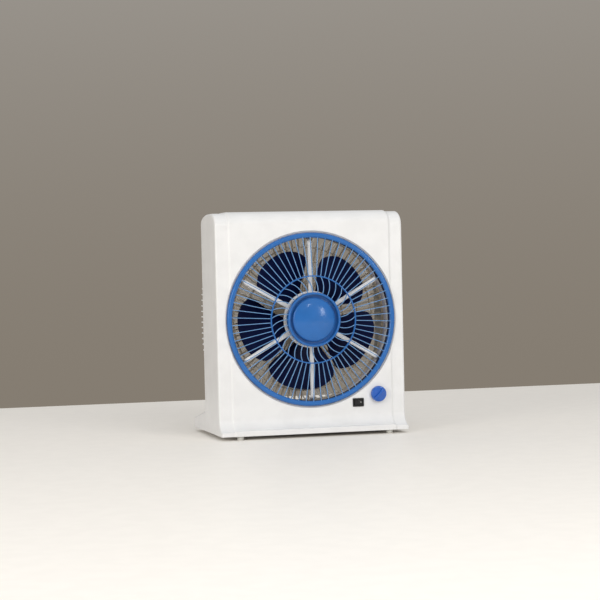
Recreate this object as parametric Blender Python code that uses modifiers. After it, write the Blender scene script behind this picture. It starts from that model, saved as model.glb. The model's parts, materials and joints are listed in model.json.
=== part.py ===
"""Box fan with a slowly turning louvre grille, as separate named parts.

The fan stands on the XY plane and faces -Y, centred on Z. Sizes are metres. Depths are measured from the
front panel: "forward" is positive towards the viewer, and BODY's local Y is positive towards the back.
"""

import math

import bmesh
import bpy
from mathutils import Matrix, Vector

# Case
WIDTH = 0.320
HEIGHT = 0.373
DEPTH = 0.115
FOOT_HEIGHT = 0.0063
BASE_FRONT = -0.020
BASE_BACK = 0.207
WALL = 0.0025
STEP = 0.002
PANEL_WIDTH = 0.274
SPLIT = 0.100
GAP = 0.0003
PRESS_IN = 0.0002
PANEL_Y = -(BASE_FRONT + BASE_BACK) / 2

# Fan axis
AXIS_Z = 0.1933
OPENING_RADIUS = 0.146
DUCT_RADIUS = 0.140
DUCT_LENGTH = 0.050
DUCT_FRONT = -0.0048
DUCT_FLANGE = 0.148

# Louvre grille
GRILLE_RADIUS = 0.1434
GRILLE_INNER = 0.135
MIDDLE_RADIUS = 0.0718
HUB_RADIUS = 0.045
CAP_RADIUS = 0.0357
RIM_FRONT = 0.003
RIM_BACK = -0.003
SKIRT_RADIUS = 0.1392
SKIRT_BACK = -0.012
WEB_FRONT = 0.013
GROOVE_FRONT = 0.0085
GROOVE_INNER = 0.0365
SHAFT_HOLE = 0.0034
OUTER_RIBS = 66
INNER_RIBS = 33
RIB_WIDTH = 0.0014
RIB_DEPTH = 0.0036
SWIRL = math.radians(-9.5)
MIDDLE_FORWARD = 0.011
HUB_FORWARD = 0.019

# Impeller
BLADES = 5
BLADE_TIP = 0.118
BLADE_PHASE = math.radians(52)
IMPELLER_HUB = 0.035
SHAFT_RADIUS = 0.004
MOTOR_RADIUS = 0.045
MOTOR_SCREW_HOLE = 0.0023

# Motor grid and rear guard
GRID_RIBS = 24
GRID_RADIUS = 0.149
GUARD_RIBS = 36
GUARD_HALF_WIDTH = 0.152
GUARD_HALF_HEIGHT = 0.149
GUARD_POWER = 3.2
GUARD_LIP = 0.009
GUARD_BACK = 0.184

# Controls
KNOB = (0.1115, 0.0661)
KNOB_RADIUS = 0.013
SWITCH = (0.077, 0.0528)
SWITCH_SIZE = (0.018, 0.013)
ROCKER_PIVOT = 0.003
ROCKER_TILT = math.radians(7)
INLET = (0.141, 0.058)
INLET_BODY = (0.018, 0.009)
SPINDLE_HOLE = 0.0042

# Fasteners and feet
POSTS = [(sign * 0.150, z) for sign in (-1, 1) for z in (0.080, 0.340)]
FEET = {"front": -0.0088, "rear": 0.190}
FOOT_X = 0.1275
FOOT_RADIUS = 0.006
FOOT_TOP = 0.0072
POST_RADIUS = 0.0045
POST_BORE = 0.0018
POST_SINK = 0.0034
POST_FRONT = -0.0035
POST_MEET = -0.084

FORWARD = (math.pi / 2, 0, 0)
SIDEWAYS = (math.pi / 2, 0, math.pi / 2)
MERGE = 0.00001


# Scene


def clear_scene():
    for obj in list(bpy.data.objects):
        bpy.data.objects.remove(obj, do_unlink=True)


def new_collection(name):
    collection = bpy.data.collections.new(name)
    bpy.context.scene.collection.children.link(collection)
    return collection


clear_scene()
PARTS = new_collection("box_fan")
CUTTERS = new_collection("box_fan_cutters")


def finish(name, colour, roughness, metallic=0.0):
    material = bpy.data.materials.new(name)
    material.use_nodes = True
    shader = material.node_tree.nodes["Principled BSDF"]
    shader.inputs["Base Color"].default_value = (*colour, 1.0)
    shader.inputs["Roughness"].default_value = roughness
    shader.inputs["Metallic"].default_value = metallic
    material.diffuse_color = (*colour, 1.0)
    return material


WHITE = finish("white_plastic", (0.80, 0.80, 0.78), 0.38)
CREAM = finish("cream_plastic", (0.70, 0.66, 0.58), 0.45)
GREY = finish("grey_plastic", (0.36, 0.37, 0.40), 0.50)
BLUE = finish("blue_plastic", (0.05, 0.20, 0.55), 0.30)
NAVY = finish("navy_plastic", (0.004, 0.010, 0.045), 0.25)
ROYAL = finish("royal_blue_plastic", (0.03, 0.12, 0.50), 0.28)
BLACK = finish("black_plastic", (0.012, 0.012, 0.013), 0.35)
RUBBER = finish("pale_rubber", (0.62, 0.62, 0.60), 0.70)
STEEL = finish("bright_steel", (0.55, 0.55, 0.56), 0.25, 1.0)
LAMINATION = finish("lamination_steel", (0.24, 0.24, 0.25), 0.45, 1.0)
COPPER = finish("enamelled_copper", (0.60, 0.22, 0.08), 0.35, 1.0)
ZINC = finish("zinc_plate", (0.50, 0.51, 0.53), 0.40, 1.0)


def axis(name, x, z):
    """An empty on the front panel whose local Z points forward."""
    empty = bpy.data.objects.new(name, None)
    empty.location = (x, PANEL_Y, z)
    empty.rotation_euler = FORWARD
    empty.empty_display_size = 0.05
    PARTS.objects.link(empty)
    return empty


BODY = bpy.data.objects.new("body_origin", None)
BODY.location = (0, PANEL_Y, 0)
PARTS.objects.link(BODY)
FAN_AXIS = axis("fan_axis", 0, AXIS_Z)
GRILLE_AXIS = axis("grille_axis", 0, AXIS_Z)
IMPELLER_AXIS = axis("impeller_axis", 0, AXIS_Z)
KNOB_AXIS = axis("knob_axis", *KNOB)


# Shapes


def place(name, mesh, material, parent, location=(0, 0, 0), rotation=(0, 0, 0)):
    """A visible part when it has a material, and a cutter when it has none."""
    obj = bpy.data.objects.new(name, mesh)
    obj.parent = parent
    obj.location = location
    obj.rotation_euler = rotation
    if material:
        mesh.materials.clear()
        mesh.materials.append(material)
        PARTS.objects.link(obj)
    else:
        obj.hide_render = True
        obj.display_type = "WIRE"
        CUTTERS.objects.link(obj)
    return obj


def mesh_of(name, build):
    """A mesh that build fills, with its faces turned outwards."""
    grid = bmesh.new()
    build(grid)
    bmesh.ops.recalc_face_normals(grid, faces=grid.faces)
    mesh = bpy.data.meshes.new(name)
    grid.to_mesh(mesh)
    grid.free()
    return mesh


def block(name, size, material, parent, centre, turn=0.0):
    def build(grid):
        bmesh.ops.create_cube(grid, size=1, matrix=Matrix.Diagonal((*size, 1)))

    return place(name, mesh_of(name, build), material, parent, centre, (0, 0, turn))


def rod(name, radius, start, end, material, parent, centre=(0, 0), segments=16):
    """A cylinder along the parent's Z, between two heights."""

    def build(grid):
        middle = Matrix.Translation((0, 0, (start + end) / 2))
        bmesh.ops.create_cone(
            grid, cap_ends=True, segments=segments, radius1=radius, radius2=radius, depth=abs(end - start),
            matrix=middle,
        )

    obj = place(name, mesh_of(name, build), material, parent, (*centre, 0))
    obj.data.shade_smooth()
    return obj


def turned(name, profile, material, parent, steps=48, centre=(0, 0), closed=True):
    """A profile of (radius, forward) points, front to back on its outer side, turned about the parent's Z."""
    points = [(radius, 0, forward) for radius, forward in profile]
    edges = [(i, i + 1) for i in range(len(points) - 1)]
    if closed:
        edges.append((len(points) - 1, 0))
    mesh = bpy.data.meshes.new(name)
    mesh.from_pydata(points, edges, [])
    obj = place(name, mesh, material, parent, (*centre, 0))
    screw = obj.modifiers.new("turn", "SCREW")
    screw.steps = screw.render_steps = steps
    screw.use_merge_vertices = True
    screw.merge_threshold = MERGE
    return obj


def ring(name, inner, outer, front, back, material, parent, steps=48):
    profile = [(outer, front), (outer, back), (inner, back), (inner, front)]
    return turned(name, profile, material, parent, steps)


def plate(name, outlines, thickness, material, parent, location=(0, 0, 0), rotation=(0, 0, 0)):
    """Closed flat outlines, the first the outside and the rest holes, extruded both ways from their plane."""
    curve = bpy.data.curves.new(name, "CURVE")
    curve.dimensions = "2D"
    curve.fill_mode = "BOTH"
    curve.extrude = thickness / 2
    for outline in outlines:
        spline = curve.splines.new("POLY")
        spline.points.add(len(outline) - 1)
        for point, (x, y) in zip(spline.points, outline):
            point.co = (x, y, 0, 1)
        spline.use_cyclic_u = True
    flat = bpy.data.objects.new(name + "_outline", curve)
    PARTS.objects.link(flat)
    mesh = bpy.data.meshes.new_from_object(flat.evaluated_get(bpy.context.evaluated_depsgraph_get()))
    bpy.data.objects.remove(flat)

    def build(grid):
        grid.from_mesh(mesh)
        bmesh.ops.remove_doubles(grid, verts=grid.verts, dist=MERGE)

    return place(name, mesh_of(name, build), material, parent, location, rotation)


def combine(target, tool, operation):
    modifier = target.modifiers.new(f"{operation.lower()}_{tool.name}", "BOOLEAN")
    modifier.operation = operation
    modifier.object = tool
    modifier.solver = "EXACT"


def cut(target, *tools):
    for tool in tools:
        combine(target, tool, "DIFFERENCE")


def join(target, *tools):
    for tool in tools:
        combine(target, tool, "UNION")


def arc(centre, radii, start, end, count):
    """Points on an ellipse, angles in degrees."""
    for i in range(count + 1):
        angle = math.radians(start + (end - start) * i / count)
        yield centre[0] + radii[0] * math.cos(angle), centre[1] + radii[1] * math.sin(angle)


def squircle(half_width, half_height, count):
    return [
        tuple(squircle_radius(half_width, half_height, angle) * c for c in (math.cos(angle), math.sin(angle)))
        for angle in (math.tau * (i + 0.5) / count for i in range(count))
    ]


def squircle_radius(half_width, half_height, angle):
    across = abs(math.cos(angle) / half_width) ** GUARD_POWER
    upward = abs(math.sin(angle) / half_height) ** GUARD_POWER
    return (across + upward) ** (-1 / GUARD_POWER)


def polar(radius, angle, forward):
    return Vector((radius * math.cos(angle), radius * math.sin(angle), forward))


def strip(grid, path, width, depth, side=None):
    """Adds a closed bar of rectangular section along a path, its width along side, or across the path."""
    rows = []
    for i, point in enumerate(path):
        before = (point - path[i - 1]).normalized() if i else None
        after = (path[i + 1] - point).normalized() if i < len(path) - 1 else None
        leg = after or before
        along = ((before or after) + (after or before)).normalized()
        across = side or along.cross(Vector((0, 0, 1))).normalized()
        up = across.cross(along).normalized()
        up /= up.dot(across.cross(leg).normalized())
        rows.append([
            grid.verts.new(point + across * width / 2 * a + up * depth / 2 * b)
            for a, b in ((-1, -1), (1, -1), (1, 1), (-1, 1))
        ])
    for row, following in zip(rows, rows[1:]):
        for i in range(4):
            j = (i + 1) % 4
            grid.faces.new((row[i], row[j], following[j], following[i]))
    grid.faces.new(rows[0])
    grid.faces.new(rows[-1])


def strips(name, paths, width, depth, parent, sides=None):
    """One helper mesh that holds a bar for each path."""

    def build(grid):
        for i, path in enumerate(paths):
            strip(grid, path, width, depth, sides[i] if sides else None)

    return place(name, mesh_of(name, build), None, parent)


def screw(name, parent, centre, seat, length, head_radius, shank_radius):
    """A pan-head screw whose head lies behind the seat and whose shank runs forward."""
    head = head_radius * 0.6
    profile = [
        (0, seat + length), (shank_radius, seat + length), (shank_radius, seat),
        (head_radius, seat), (head_radius, seat - head), (0, seat - head),
    ]
    return turned(name, profile, STEEL, parent, 8, centre, closed=False)


# Case


def side_outline(inset, floor):
    """The case seen from its side as (depth, height) points, from the front of the base over the top."""
    front, back, top = inset, DEPTH - inset, HEIGHT - inset
    lip_top, flare_top = 0.015, 0.034
    front_arch, back_arch = (0.032, 0.021), (0.052, 0.013)
    slope_top, slope_end, tail = 0.042, 0.027, 0.012
    fall = (slope_top - slope_end) / (BASE_BACK - tail - DEPTH)
    drop = inset * math.hypot(1, fall)
    flare = (-BASE_FRONT + inset, flare_top - lip_top + inset)
    turn = math.degrees(math.acos(inset / flare[0]))
    points = [(BASE_FRONT + inset, floor)]
    points += reversed([(y, 2 * flare_top - z) for y, z in arc((BASE_FRONT, flare_top), flare, 0, turn, 6)])
    points += arc((front + front_arch[0], top - front_arch[1]), front_arch, 180, 90, 5)
    points += arc((back - back_arch[0], top - back_arch[1]), back_arch, 90, 0, 5)
    points += [(back, slope_top + inset * fall - drop)]
    points += arc((BASE_BACK - tail, slope_end - tail), (tail - inset, tail - inset), 90, 0, 4)
    points += [(BASE_BACK - inset, floor)]
    return points


def case_tools():
    """The cutters that both shells share."""
    inside = side_outline(STEP + WALL, 0)
    width = WIDTH - 2 * WALL
    cavity = plate("case_cavity", [inside], width, None, BODY, rotation=SIDEWAYS)
    size, high = 0.4, 0.2
    rear_half = block("rear_half", (size, size, 2 * high), None, BODY, (0, SPLIT + size / 2, high))
    front_half = block("front_half", (size, size, 2 * high), None, BODY, (0, SPLIT + GAP - size / 2, high))
    return cavity, rear_half, front_half


def case_block(name, half):
    """The whole case as a solid with its raised centre, less the other half."""
    shoulders = side_outline(STEP, FOOT_HEIGHT)
    raised = side_outline(0, FOOT_HEIGHT)
    centre = plate(name + "_centre", [raised], PANEL_WIDTH, None, BODY, rotation=SIDEWAYS)
    shell = plate(name, [shoulders], WIDTH, WHITE, BODY, rotation=SIDEWAYS)
    join(shell, centre)
    cut(shell, half)
    return shell


def front_shell(cavity, rear_half):
    shell = case_block("front_shell", rear_half)
    cut(shell, cavity)
    through = 0.03
    opening = rod("front_opening", OPENING_RADIUS, -through, through, None, FAN_AXIS, segments=72)
    spindle_hole = rod("spindle_hole", SPINDLE_HOLE, -through, through, None, KNOB_AXIS, segments=16)
    width, height = (size - 2 * PRESS_IN for size in SWITCH_SIZE)
    switch_hole = block("switch_hole", (width, 2 * through, height), None, BODY, (SWITCH[0], 0, SWITCH[1]))
    cut(shell, opening, spindle_hole, switch_hole)
    bore_front, bore_back = -0.060, -0.100
    for i, (x, z) in enumerate(POSTS, 1):
        spot = (x, z - AXIS_Z)
        join(shell, rod(f"front_post_{i}", POST_RADIUS, POST_FRONT, POST_MEET, None, FAN_AXIS, spot, 8))
        cut(shell, rod(f"front_post_bore_{i}", POST_BORE, bore_front, bore_back, None, FAN_AXIS, spot, 8))


def rear_shell(cavity, front_half):
    shell = case_block("rear_shell", front_half)
    cut(shell, cavity)
    through = 0.05
    outline = squircle(GUARD_HALF_WIDTH - GUARD_LIP, GUARD_HALF_HEIGHT - GUARD_LIP, 48)
    cut(shell, plate("rear_opening", [outline], through, None, FAN_AXIS, (0, 0, -DEPTH)))
    width, height = (size + 2 * GAP for size in INLET_BODY)
    cut(shell, block("inlet_hole", (width, through, height), None, BODY, (INLET[0], DEPTH, INLET[1])))
    sink_front, beyond, post_back, screw_length = -0.100, -0.130, -0.112, 0.032
    for i, (x, z) in enumerate(POSTS, 1):
        spot = (x, z - AXIS_Z)
        join(shell, rod(f"rear_post_{i}", POST_RADIUS, POST_MEET - GAP, post_back, None, FAN_AXIS, spot, 8))
        cut(shell, rod(f"rear_post_bore_{i}", POST_BORE, POST_MEET, beyond, None, FAN_AXIS, spot, 8))
        cut(shell, rod(f"rear_post_sink_{i}", POST_SINK, sink_front, beyond, None, FAN_AXIS, spot, 8))
        screw(f"shell_screw_{i}", FAN_AXIS, spot, sink_front - GAP, screw_length, 0.003, 0.0015)


def base():
    depth = BASE_BACK - BASE_FRONT - 2 * (STEP + WALL + GAP)
    middle = (BASE_BACK + BASE_FRONT) / 2
    width = WIDTH - 2 * (WALL + GAP)
    block("base_plate", (width, depth, WALL), WHITE, BODY, (0, middle, FOOT_TOP + GAP + WALL / 2))
    taper = 0.001
    outline = [(0, FOOT_TOP), (FOOT_RADIUS, FOOT_TOP), (FOOT_RADIUS - taper, 0), (0, 0)]
    for place_name, y in FEET.items():
        for side_name, x in (("left", -FOOT_X), ("right", FOOT_X)):
            foot = turned(f"foot_{place_name}_{side_name}", outline, RUBBER, BODY, 16, closed=False)
            foot.location = (x, y, 0)


# Air path


def duct_ring():
    back = -DUCT_LENGTH
    wall = DUCT_RADIUS + WALL
    profile = [
        (DUCT_FLANGE, DUCT_FRONT), (DUCT_FLANGE, DUCT_FRONT - WALL), (wall, DUCT_FRONT - WALL),
        (wall, back + WALL), (DUCT_FLANGE, back + WALL), (DUCT_FLANGE, back), (DUCT_RADIUS, back),
        (DUCT_RADIUS, DUCT_FRONT),
    ]
    turned("duct_ring", profile, GREY, FAN_AXIS, 48)


def spider():
    """Hub disc, six arms that turn back at their ends, and the ring that fits the duct."""
    front, thickness = -0.003, 0.003
    bore, disc_radius, arm_width = 0.0042, 0.047, 0.0072
    ring_inner, ring_front, ring_back = 0.1365, -0.020, -0.028
    hub = ring("spider", bore, disc_radius, front, front - thickness, WHITE, FAN_AXIS, 40)
    edge = ring("spider_edge", ring_inner, DUCT_RADIUS - GAP, ring_front, ring_back, None, FAN_AXIS, 60)
    arm_start, arm_bend, arm_end = 0.040, 0.127, 0.138
    level, end_level = front - thickness / 2, (ring_front + ring_back) / 2
    paths, sides = [], []
    for i in range(6):
        angle = math.radians(30 + 60 * i)
        bend = polar(arm_bend, angle, level)
        paths.append([polar(arm_start, angle, level), bend, polar(arm_end, angle, end_level)])
        sides.append(polar(1, angle + math.pi / 2, 0))
    join(hub, edge, strips("spider_arms", paths, arm_width, thickness * 0.96, FAN_AXIS, sides))


def motor_grid():
    front, back = -DUCT_LENGTH - GAP, -0.060
    rim = ring("motor_grid", DUCT_RADIUS - 0.001, GRID_RADIUS, front, back, CREAM, FAN_AXIS, 48)
    middle = ring("grid_middle", 0.1195, 0.122, -0.0525, -0.0585, None, FAN_AXIS, 48)
    plate_inner, plate_radius, plate_depth = 0.014, 0.048, 0.008
    motor_plate = ring("grid_plate", plate_inner, plate_radius, back, back - plate_depth, None, FAN_AXIS, 36)
    rib_start, rib_end = 0.1415, 0.046
    rib_level, end_level = -0.0555, back - plate_depth / 2
    rib_width, rib_depth = 0.002, 0.007
    paths, sides = [], []
    for i in range(GRID_RIBS):
        angle = math.tau * (i + 0.5) / GRID_RIBS
        paths.append([polar(rib_start, angle, rib_level), polar(rib_end, angle, end_level)])
        sides.append(polar(1, angle + math.pi / 2, 0))
    join(rim, middle, motor_plate, strips("grid_ribs", paths, rib_width, rib_depth, FAN_AXIS, sides))
    for i in range(4):
        spot = motor_screw_spot(i)
        cut(rim, rod(f"motor_screw_hole_{i + 1}", MOTOR_SCREW_HOLE, -0.05, -0.08, None, FAN_AXIS, spot, 8))


def rear_guard():
    """A basket: flange on the case back, ribs over its side and back, a round ring and a centre disc."""
    flange_front, flange_thickness, flange_width = -DEPTH - GAP, 0.003, 0.008
    outside = squircle(GUARD_HALF_WIDTH, GUARD_HALF_HEIGHT, 48)
    inside = squircle(GUARD_HALF_WIDTH - flange_width, GUARD_HALF_HEIGHT - flange_width, 48)
    middle = (0, 0, flange_front - flange_thickness / 2)
    guard = plate("rear_guard", [outside, inside], flange_thickness, CREAM, FAN_AXIS, middle)
    disc_back, disc_thickness = -GUARD_BACK - 0.011, 0.004
    disc = ring("guard_disc", 0.010, 0.047, disc_back + disc_thickness, disc_back, None, FAN_AXIS, 36)
    band_front, band_depth = -GUARD_BACK - 0.0015, 0.005
    band = ring("guard_band", 0.098, 0.101, band_front, band_front - band_depth, None, FAN_AXIS, 36)
    rib_inset, rib_width, rib_depth = 0.003, 0.0022, 0.0035
    rib_end, end_level = 0.045, -GUARD_BACK - 0.009
    paths, sides = [], []
    for i in range(GUARD_RIBS):
        angle = math.tau * (i + 0.5) / GUARD_RIBS
        radius = squircle_radius(GUARD_HALF_WIDTH, GUARD_HALF_HEIGHT, angle) - rib_inset
        paths.append([
            polar(radius, angle, flange_front - 0.001),
            polar(radius, angle, -GUARD_BACK),
            polar(rib_end, angle, end_level),
        ])
        sides.append(polar(1, angle + math.pi / 2, 0))
    join(guard, band, disc, strips("guard_ribs", paths, rib_width, rib_depth, FAN_AXIS, sides))
    seat = flange_front - flange_thickness - GAP
    screw_inset, screw_length, hole_radius = 0.0045, 0.010, 0.0016
    for i in range(4):
        angle = i * math.pi / 2
        reach = GUARD_HALF_WIDTH if i % 2 == 0 else GUARD_HALF_HEIGHT
        spot = tuple(polar(reach - screw_inset, angle, 0).xy)
        hole = rod(f"guard_screw_hole_{i + 1}", hole_radius, -0.1, -0.13, None, FAN_AXIS, spot, 8)
        cut(guard, hole)
        cut(bpy.data.objects["rear_shell"], hole)
        screw(f"guard_screw_{i + 1}", FAN_AXIS, spot, seat, screw_length, 0.0028, 0.0012)


# Louvre drive


def swirl_path(angle):
    """A rib from the middle ring to the hub that turns as it goes inwards, most of it near the ring."""
    steps, rise = 4, 0.0035
    path = []
    for i in range(steps + 1):
        inward = i / steps
        radius = MIDDLE_RADIUS + (HUB_RADIUS - 0.0012 - MIDDLE_RADIUS) * inward
        turn = SWIRL * (1 - (1 - inward) ** 2)
        path.append(polar(radius, angle + turn, MIDDLE_FORWARD + rise * inward))
    return path


def hub_profile():
    """The hub: a web round the shaft, a groove that goes back, a rounded ridge and its outer wall."""
    wall_back, web_back, groove_outer = 0.006, WEB_FRONT - WALL, 0.0412
    return [
        (SHAFT_HOLE, WEB_FRONT), (GROOVE_INNER, WEB_FRONT), (GROOVE_INNER, GROOVE_FRONT),
        (groove_outer, GROOVE_FRONT), (groove_outer, HUB_FORWARD - 0.0012), (HUB_RADIUS - 0.002, HUB_FORWARD),
        (HUB_RADIUS, HUB_FORWARD - 0.002),
        (HUB_RADIUS, wall_back), (GROOVE_INNER - WALL, wall_back), (GROOVE_INNER - WALL, web_back),
        (SHAFT_HOLE, web_back),
    ]


def louvre_grille():
    rim = [
        (0.1375, RIM_FRONT), (0.1415, RIM_FRONT), (GRILLE_RADIUS, RIM_FRONT - 0.002),
        (GRILLE_RADIUS, RIM_BACK),
        (GRILLE_INNER, RIM_BACK), (GRILLE_INNER, RIM_FRONT - 0.002),
    ]
    grille = turned("louvre_grille", rim, BLUE, GRILLE_AXIS, OUTER_RIBS)
    half, depth = 0.001, 0.005
    front = MIDDLE_FORWARD + 0.0025
    middle = ring(
        "grille_middle", MIDDLE_RADIUS - half, MIDDLE_RADIUS + half, front, front - depth, None, GRILLE_AXIS,
        OUTER_RIBS,
    )
    hub = turned("grille_hub", hub_profile(), None, GRILLE_AXIS, 33)
    pitch = math.tau / OUTER_RIBS
    rib_start, start_level = 0.1365, 0.0003
    paths, sides = [], []
    for i in range(OUTER_RIBS):
        angle = pitch * (i + 0.5)
        paths.append([polar(rib_start, angle, start_level), polar(MIDDLE_RADIUS, angle, MIDDLE_FORWARD)])
        sides.append(polar(1, angle + math.pi / 2, 0))
    outer_ribs = strips("grille_outer_ribs", paths, RIB_WIDTH, RIB_DEPTH, GRILLE_AXIS, sides)
    paths = [swirl_path(2 * pitch * (i + 0.25)) for i in range(INNER_RIBS)]
    inner_ribs = strips("grille_inner_ribs", paths, RIB_WIDTH, RIB_DEPTH, GRILLE_AXIS)
    join(grille, middle, hub, outer_ribs, inner_ribs)
    ring("louvre_skirt", GRILLE_INNER, SKIRT_RADIUS, RIM_BACK - GAP, SKIRT_BACK, NAVY, GRILLE_AXIS, 48)


def hub_cap():
    """A shallow dome with a pocket behind it for the louvre screw's head."""
    edge, crown, rim = WEB_FRONT + 0.0006, 0.0198, 0.0008
    pocket_radius, pocket_depth = 0.009, 0.0038
    dome = []
    for degrees in (0, 22.5, 45, 67.5, 90):
        angle = math.radians(degrees)
        dome.append((CAP_RADIUS * math.sin(angle), edge + rim + (crown - edge - rim) * math.cos(angle)))
    pocket = [(pocket_radius, edge), (pocket_radius, edge + pocket_depth), (0, edge + pocket_depth)]
    turned("hub_cap", dome + [(CAP_RADIUS, edge)] + pocket, BLUE, GRILLE_AXIS, 32, closed=False)


def louvre_drive():
    """The small geared motor on the spider, its output shaft, and the screw that holds the grille on it."""
    can_radius, can_front, can_back = 0.024, 0.0087, -0.0027
    well_radius, well_floor = 0.0035, -0.0005
    can = [
        (0, well_floor), (well_radius, well_floor), (well_radius, can_front), (can_radius, can_front),
        (can_radius, can_back), (0, can_back),
    ]
    turned("louvre_motor", can, ZINC, FAN_AXIS, 32, closed=False)
    shaft_radius, shaft_front, tapped, tapped_back = 0.003, 0.0129, 0.0018, 0.005
    shaft = [
        (0, tapped_back), (tapped, tapped_back), (tapped, shaft_front), (shaft_radius, shaft_front),
        (shaft_radius, 0), (0, 0),
    ]
    turned("louvre_shaft", shaft, STEEL, GRILLE_AXIS, 16, closed=False)
    head_radius, head_front, seat, shank_radius, shank_back = 0.005, 0.0152, 0.0133, 0.0015, 0.0055
    head = [
        (0, head_front), (head_radius, head_front), (head_radius, seat), (shank_radius, seat),
        (shank_radius, shank_back), (0, shank_back),
    ]
    turned("louvre_screw", head, STEEL, GRILLE_AXIS, 12, closed=False)


# Impeller and motor


def blade_point(outward, across):
    """A point of a blade's middle surface. outward runs 0 to 1 from hub to tip, across from -1 to 1."""
    root = IMPELLER_HUB - 0.0012
    tip = BLADE_TIP - 0.016 * abs(across) ** 3
    radius = root + (tip - root) * outward
    half_angle = math.radians(19 + 13 * math.sin(math.pi * 0.62 * outward))
    pitch = math.radians(36 - 19 * outward)
    angle = half_angle * across - math.radians(6) * outward
    middle = -0.033 + 0.002 * outward
    return radius, angle, middle + radius * half_angle * across * math.tan(pitch)


def blade_sheets(grid):
    """Adds the middle surface of every blade."""
    rows, columns = 4, 4
    for blade in range(BLADES):
        start = BLADE_PHASE + math.tau * blade / BLADES
        points = []
        for i in range(rows + 1):
            for j in range(columns + 1):
                radius, angle, forward = blade_point(i / rows, 2 * j / columns - 1)
                points.append(grid.verts.new(polar(radius, start + angle, forward)))
        for i in range(rows):
            for j in range(columns):
                corner = i * (columns + 1) + j
                ahead = corner + columns + 1
                grid.faces.new([points[k] for k in (corner, corner + 1, ahead + 1, ahead)])


def impeller():
    """The wheel with its blades, and the nut in front of it."""
    front, back, web = -0.016, -0.045, 0.003
    shoulder, chamfer, wall = 0.030, 0.005, 0.0025
    boss_radius, boss_back, bore = 0.009, -0.040, SHAFT_RADIUS + GAP
    inside = IMPELLER_HUB - wall
    hub = [
        (bore, front), (shoulder, front), (IMPELLER_HUB, front - chamfer), (IMPELLER_HUB, back),
        (inside, back), (inside, front - 2 * web), (shoulder - 0.001, front - web),
        (boss_radius, front - web), (boss_radius, boss_back), (bore, boss_back),
    ]
    wheel = turned("impeller", hub, NAVY, IMPELLER_AXIS, 30)
    blades = place("impeller_blades", mesh_of("impeller_blades", blade_sheets), None, IMPELLER_AXIS)
    solidify = blades.modifiers.new("thickness", "SOLIDIFY")
    solidify.thickness = 0.002
    solidify.offset = 0
    join(wheel, blades)
    tip, nut_radius, nut_back, well = -0.0080, 0.011, front + GAP, -0.0115
    nut = [
        (0, tip), (0.007, tip - 0.0005), (nut_radius, tip - 0.005), (nut_radius, nut_back), (bore, nut_back),
        (bore, well), (0, well),
    ]
    turned("impeller_nut", nut, NAVY, IMPELLER_AXIS, 20, closed=False)


def motor_screw_spot(i):
    return tuple(polar(0.036, math.radians(45 + 90 * i), 0).xy)


def motor_cup(name, face, mouth):
    """A deep-drawn bracket with a bearing seat, open towards the core."""
    inwards = 1 if mouth > face else -1
    wall, bend, seat_radius, seat_wall, seat_depth = 0.0025, 0.003, 0.0114, 0.0036, 0.0095
    floor = face + inwards * (wall + 0.001)
    seat = face + inwards * seat_depth
    inside = MOTOR_RADIUS - wall
    profile = [
        (seat_radius, face), (MOTOR_RADIUS - bend, face), (MOTOR_RADIUS, face + inwards * bend),
        (MOTOR_RADIUS, mouth), (inside, mouth), (inside, floor), (seat_radius + seat_wall, floor),
        (seat_radius + seat_wall, seat),
        (seat_radius, seat),
    ]
    return turned(name, profile if inwards < 0 else profile[::-1], ZINC, FAN_AXIS, 28)


def motor():
    """Shaft, two brackets, the core with its windings, the rotor, the bearings and the mounting screws."""
    rod("motor_shaft", SHAFT_RADIUS, -0.012, -0.136, STEEL, IMPELLER_AXIS, segments=16)
    front, core_front, core_back, back = -0.0683, -0.0863, -0.1163, -0.1343
    bracket = motor_cup("motor_front_bracket", front, core_front + GAP)
    motor_cup("motor_rear_bracket", back, core_back - GAP)
    head_front, seat, length, head_radius, shank_radius = -0.0577, -0.0597, 0.011, 0.004, 0.002
    head = [
        (0, head_front), (head_radius, head_front), (head_radius, seat), (shank_radius, seat),
        (shank_radius, seat - length), (0, seat - length),
    ]
    for i in range(4):
        spot = motor_screw_spot(i)
        hole = rod(f"bracket_screw_hole_{i + 1}", MOTOR_SCREW_HOLE, -0.06, -0.08, None, FAN_AXIS, spot, 8)
        cut(bracket, hole)
        turned(f"motor_screw_{i + 1}", head, STEEL, FAN_AXIS, 8, spot, closed=False)
    bore, rotor_radius, air_gap = SHAFT_RADIUS + GAP, 0.0265, 0.0005
    ring("stator_core", rotor_radius + air_gap, MOTOR_RADIUS, core_front, core_back, LAMINATION, FAN_AXIS, 32)
    ring("rotor", bore, rotor_radius, core_front, core_back, LAMINATION, IMPELLER_AXIS, 32)
    coil_inner, coil_outer, coil_depth = 0.029, 0.040, 0.0085
    coil_front = core_front + coil_depth
    coil_back = core_back - coil_depth
    ring("front_winding", coil_inner, coil_outer, coil_front, core_front + GAP, COPPER, FAN_AXIS, 32)
    ring("rear_winding", coil_inner, coil_outer, core_back - GAP, coil_back, COPPER, FAN_AXIS, 32)
    bearing, bearing_width, inset = 0.0111, 0.007, 0.0015
    ring("front_bearing", bore, bearing, front - inset, front - inset - bearing_width, STEEL, FAN_AXIS, 20)
    ring("rear_bearing", bore, bearing, back + inset + bearing_width, back + inset, STEEL, FAN_AXIS, 20)


# Controls and wiring


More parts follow.
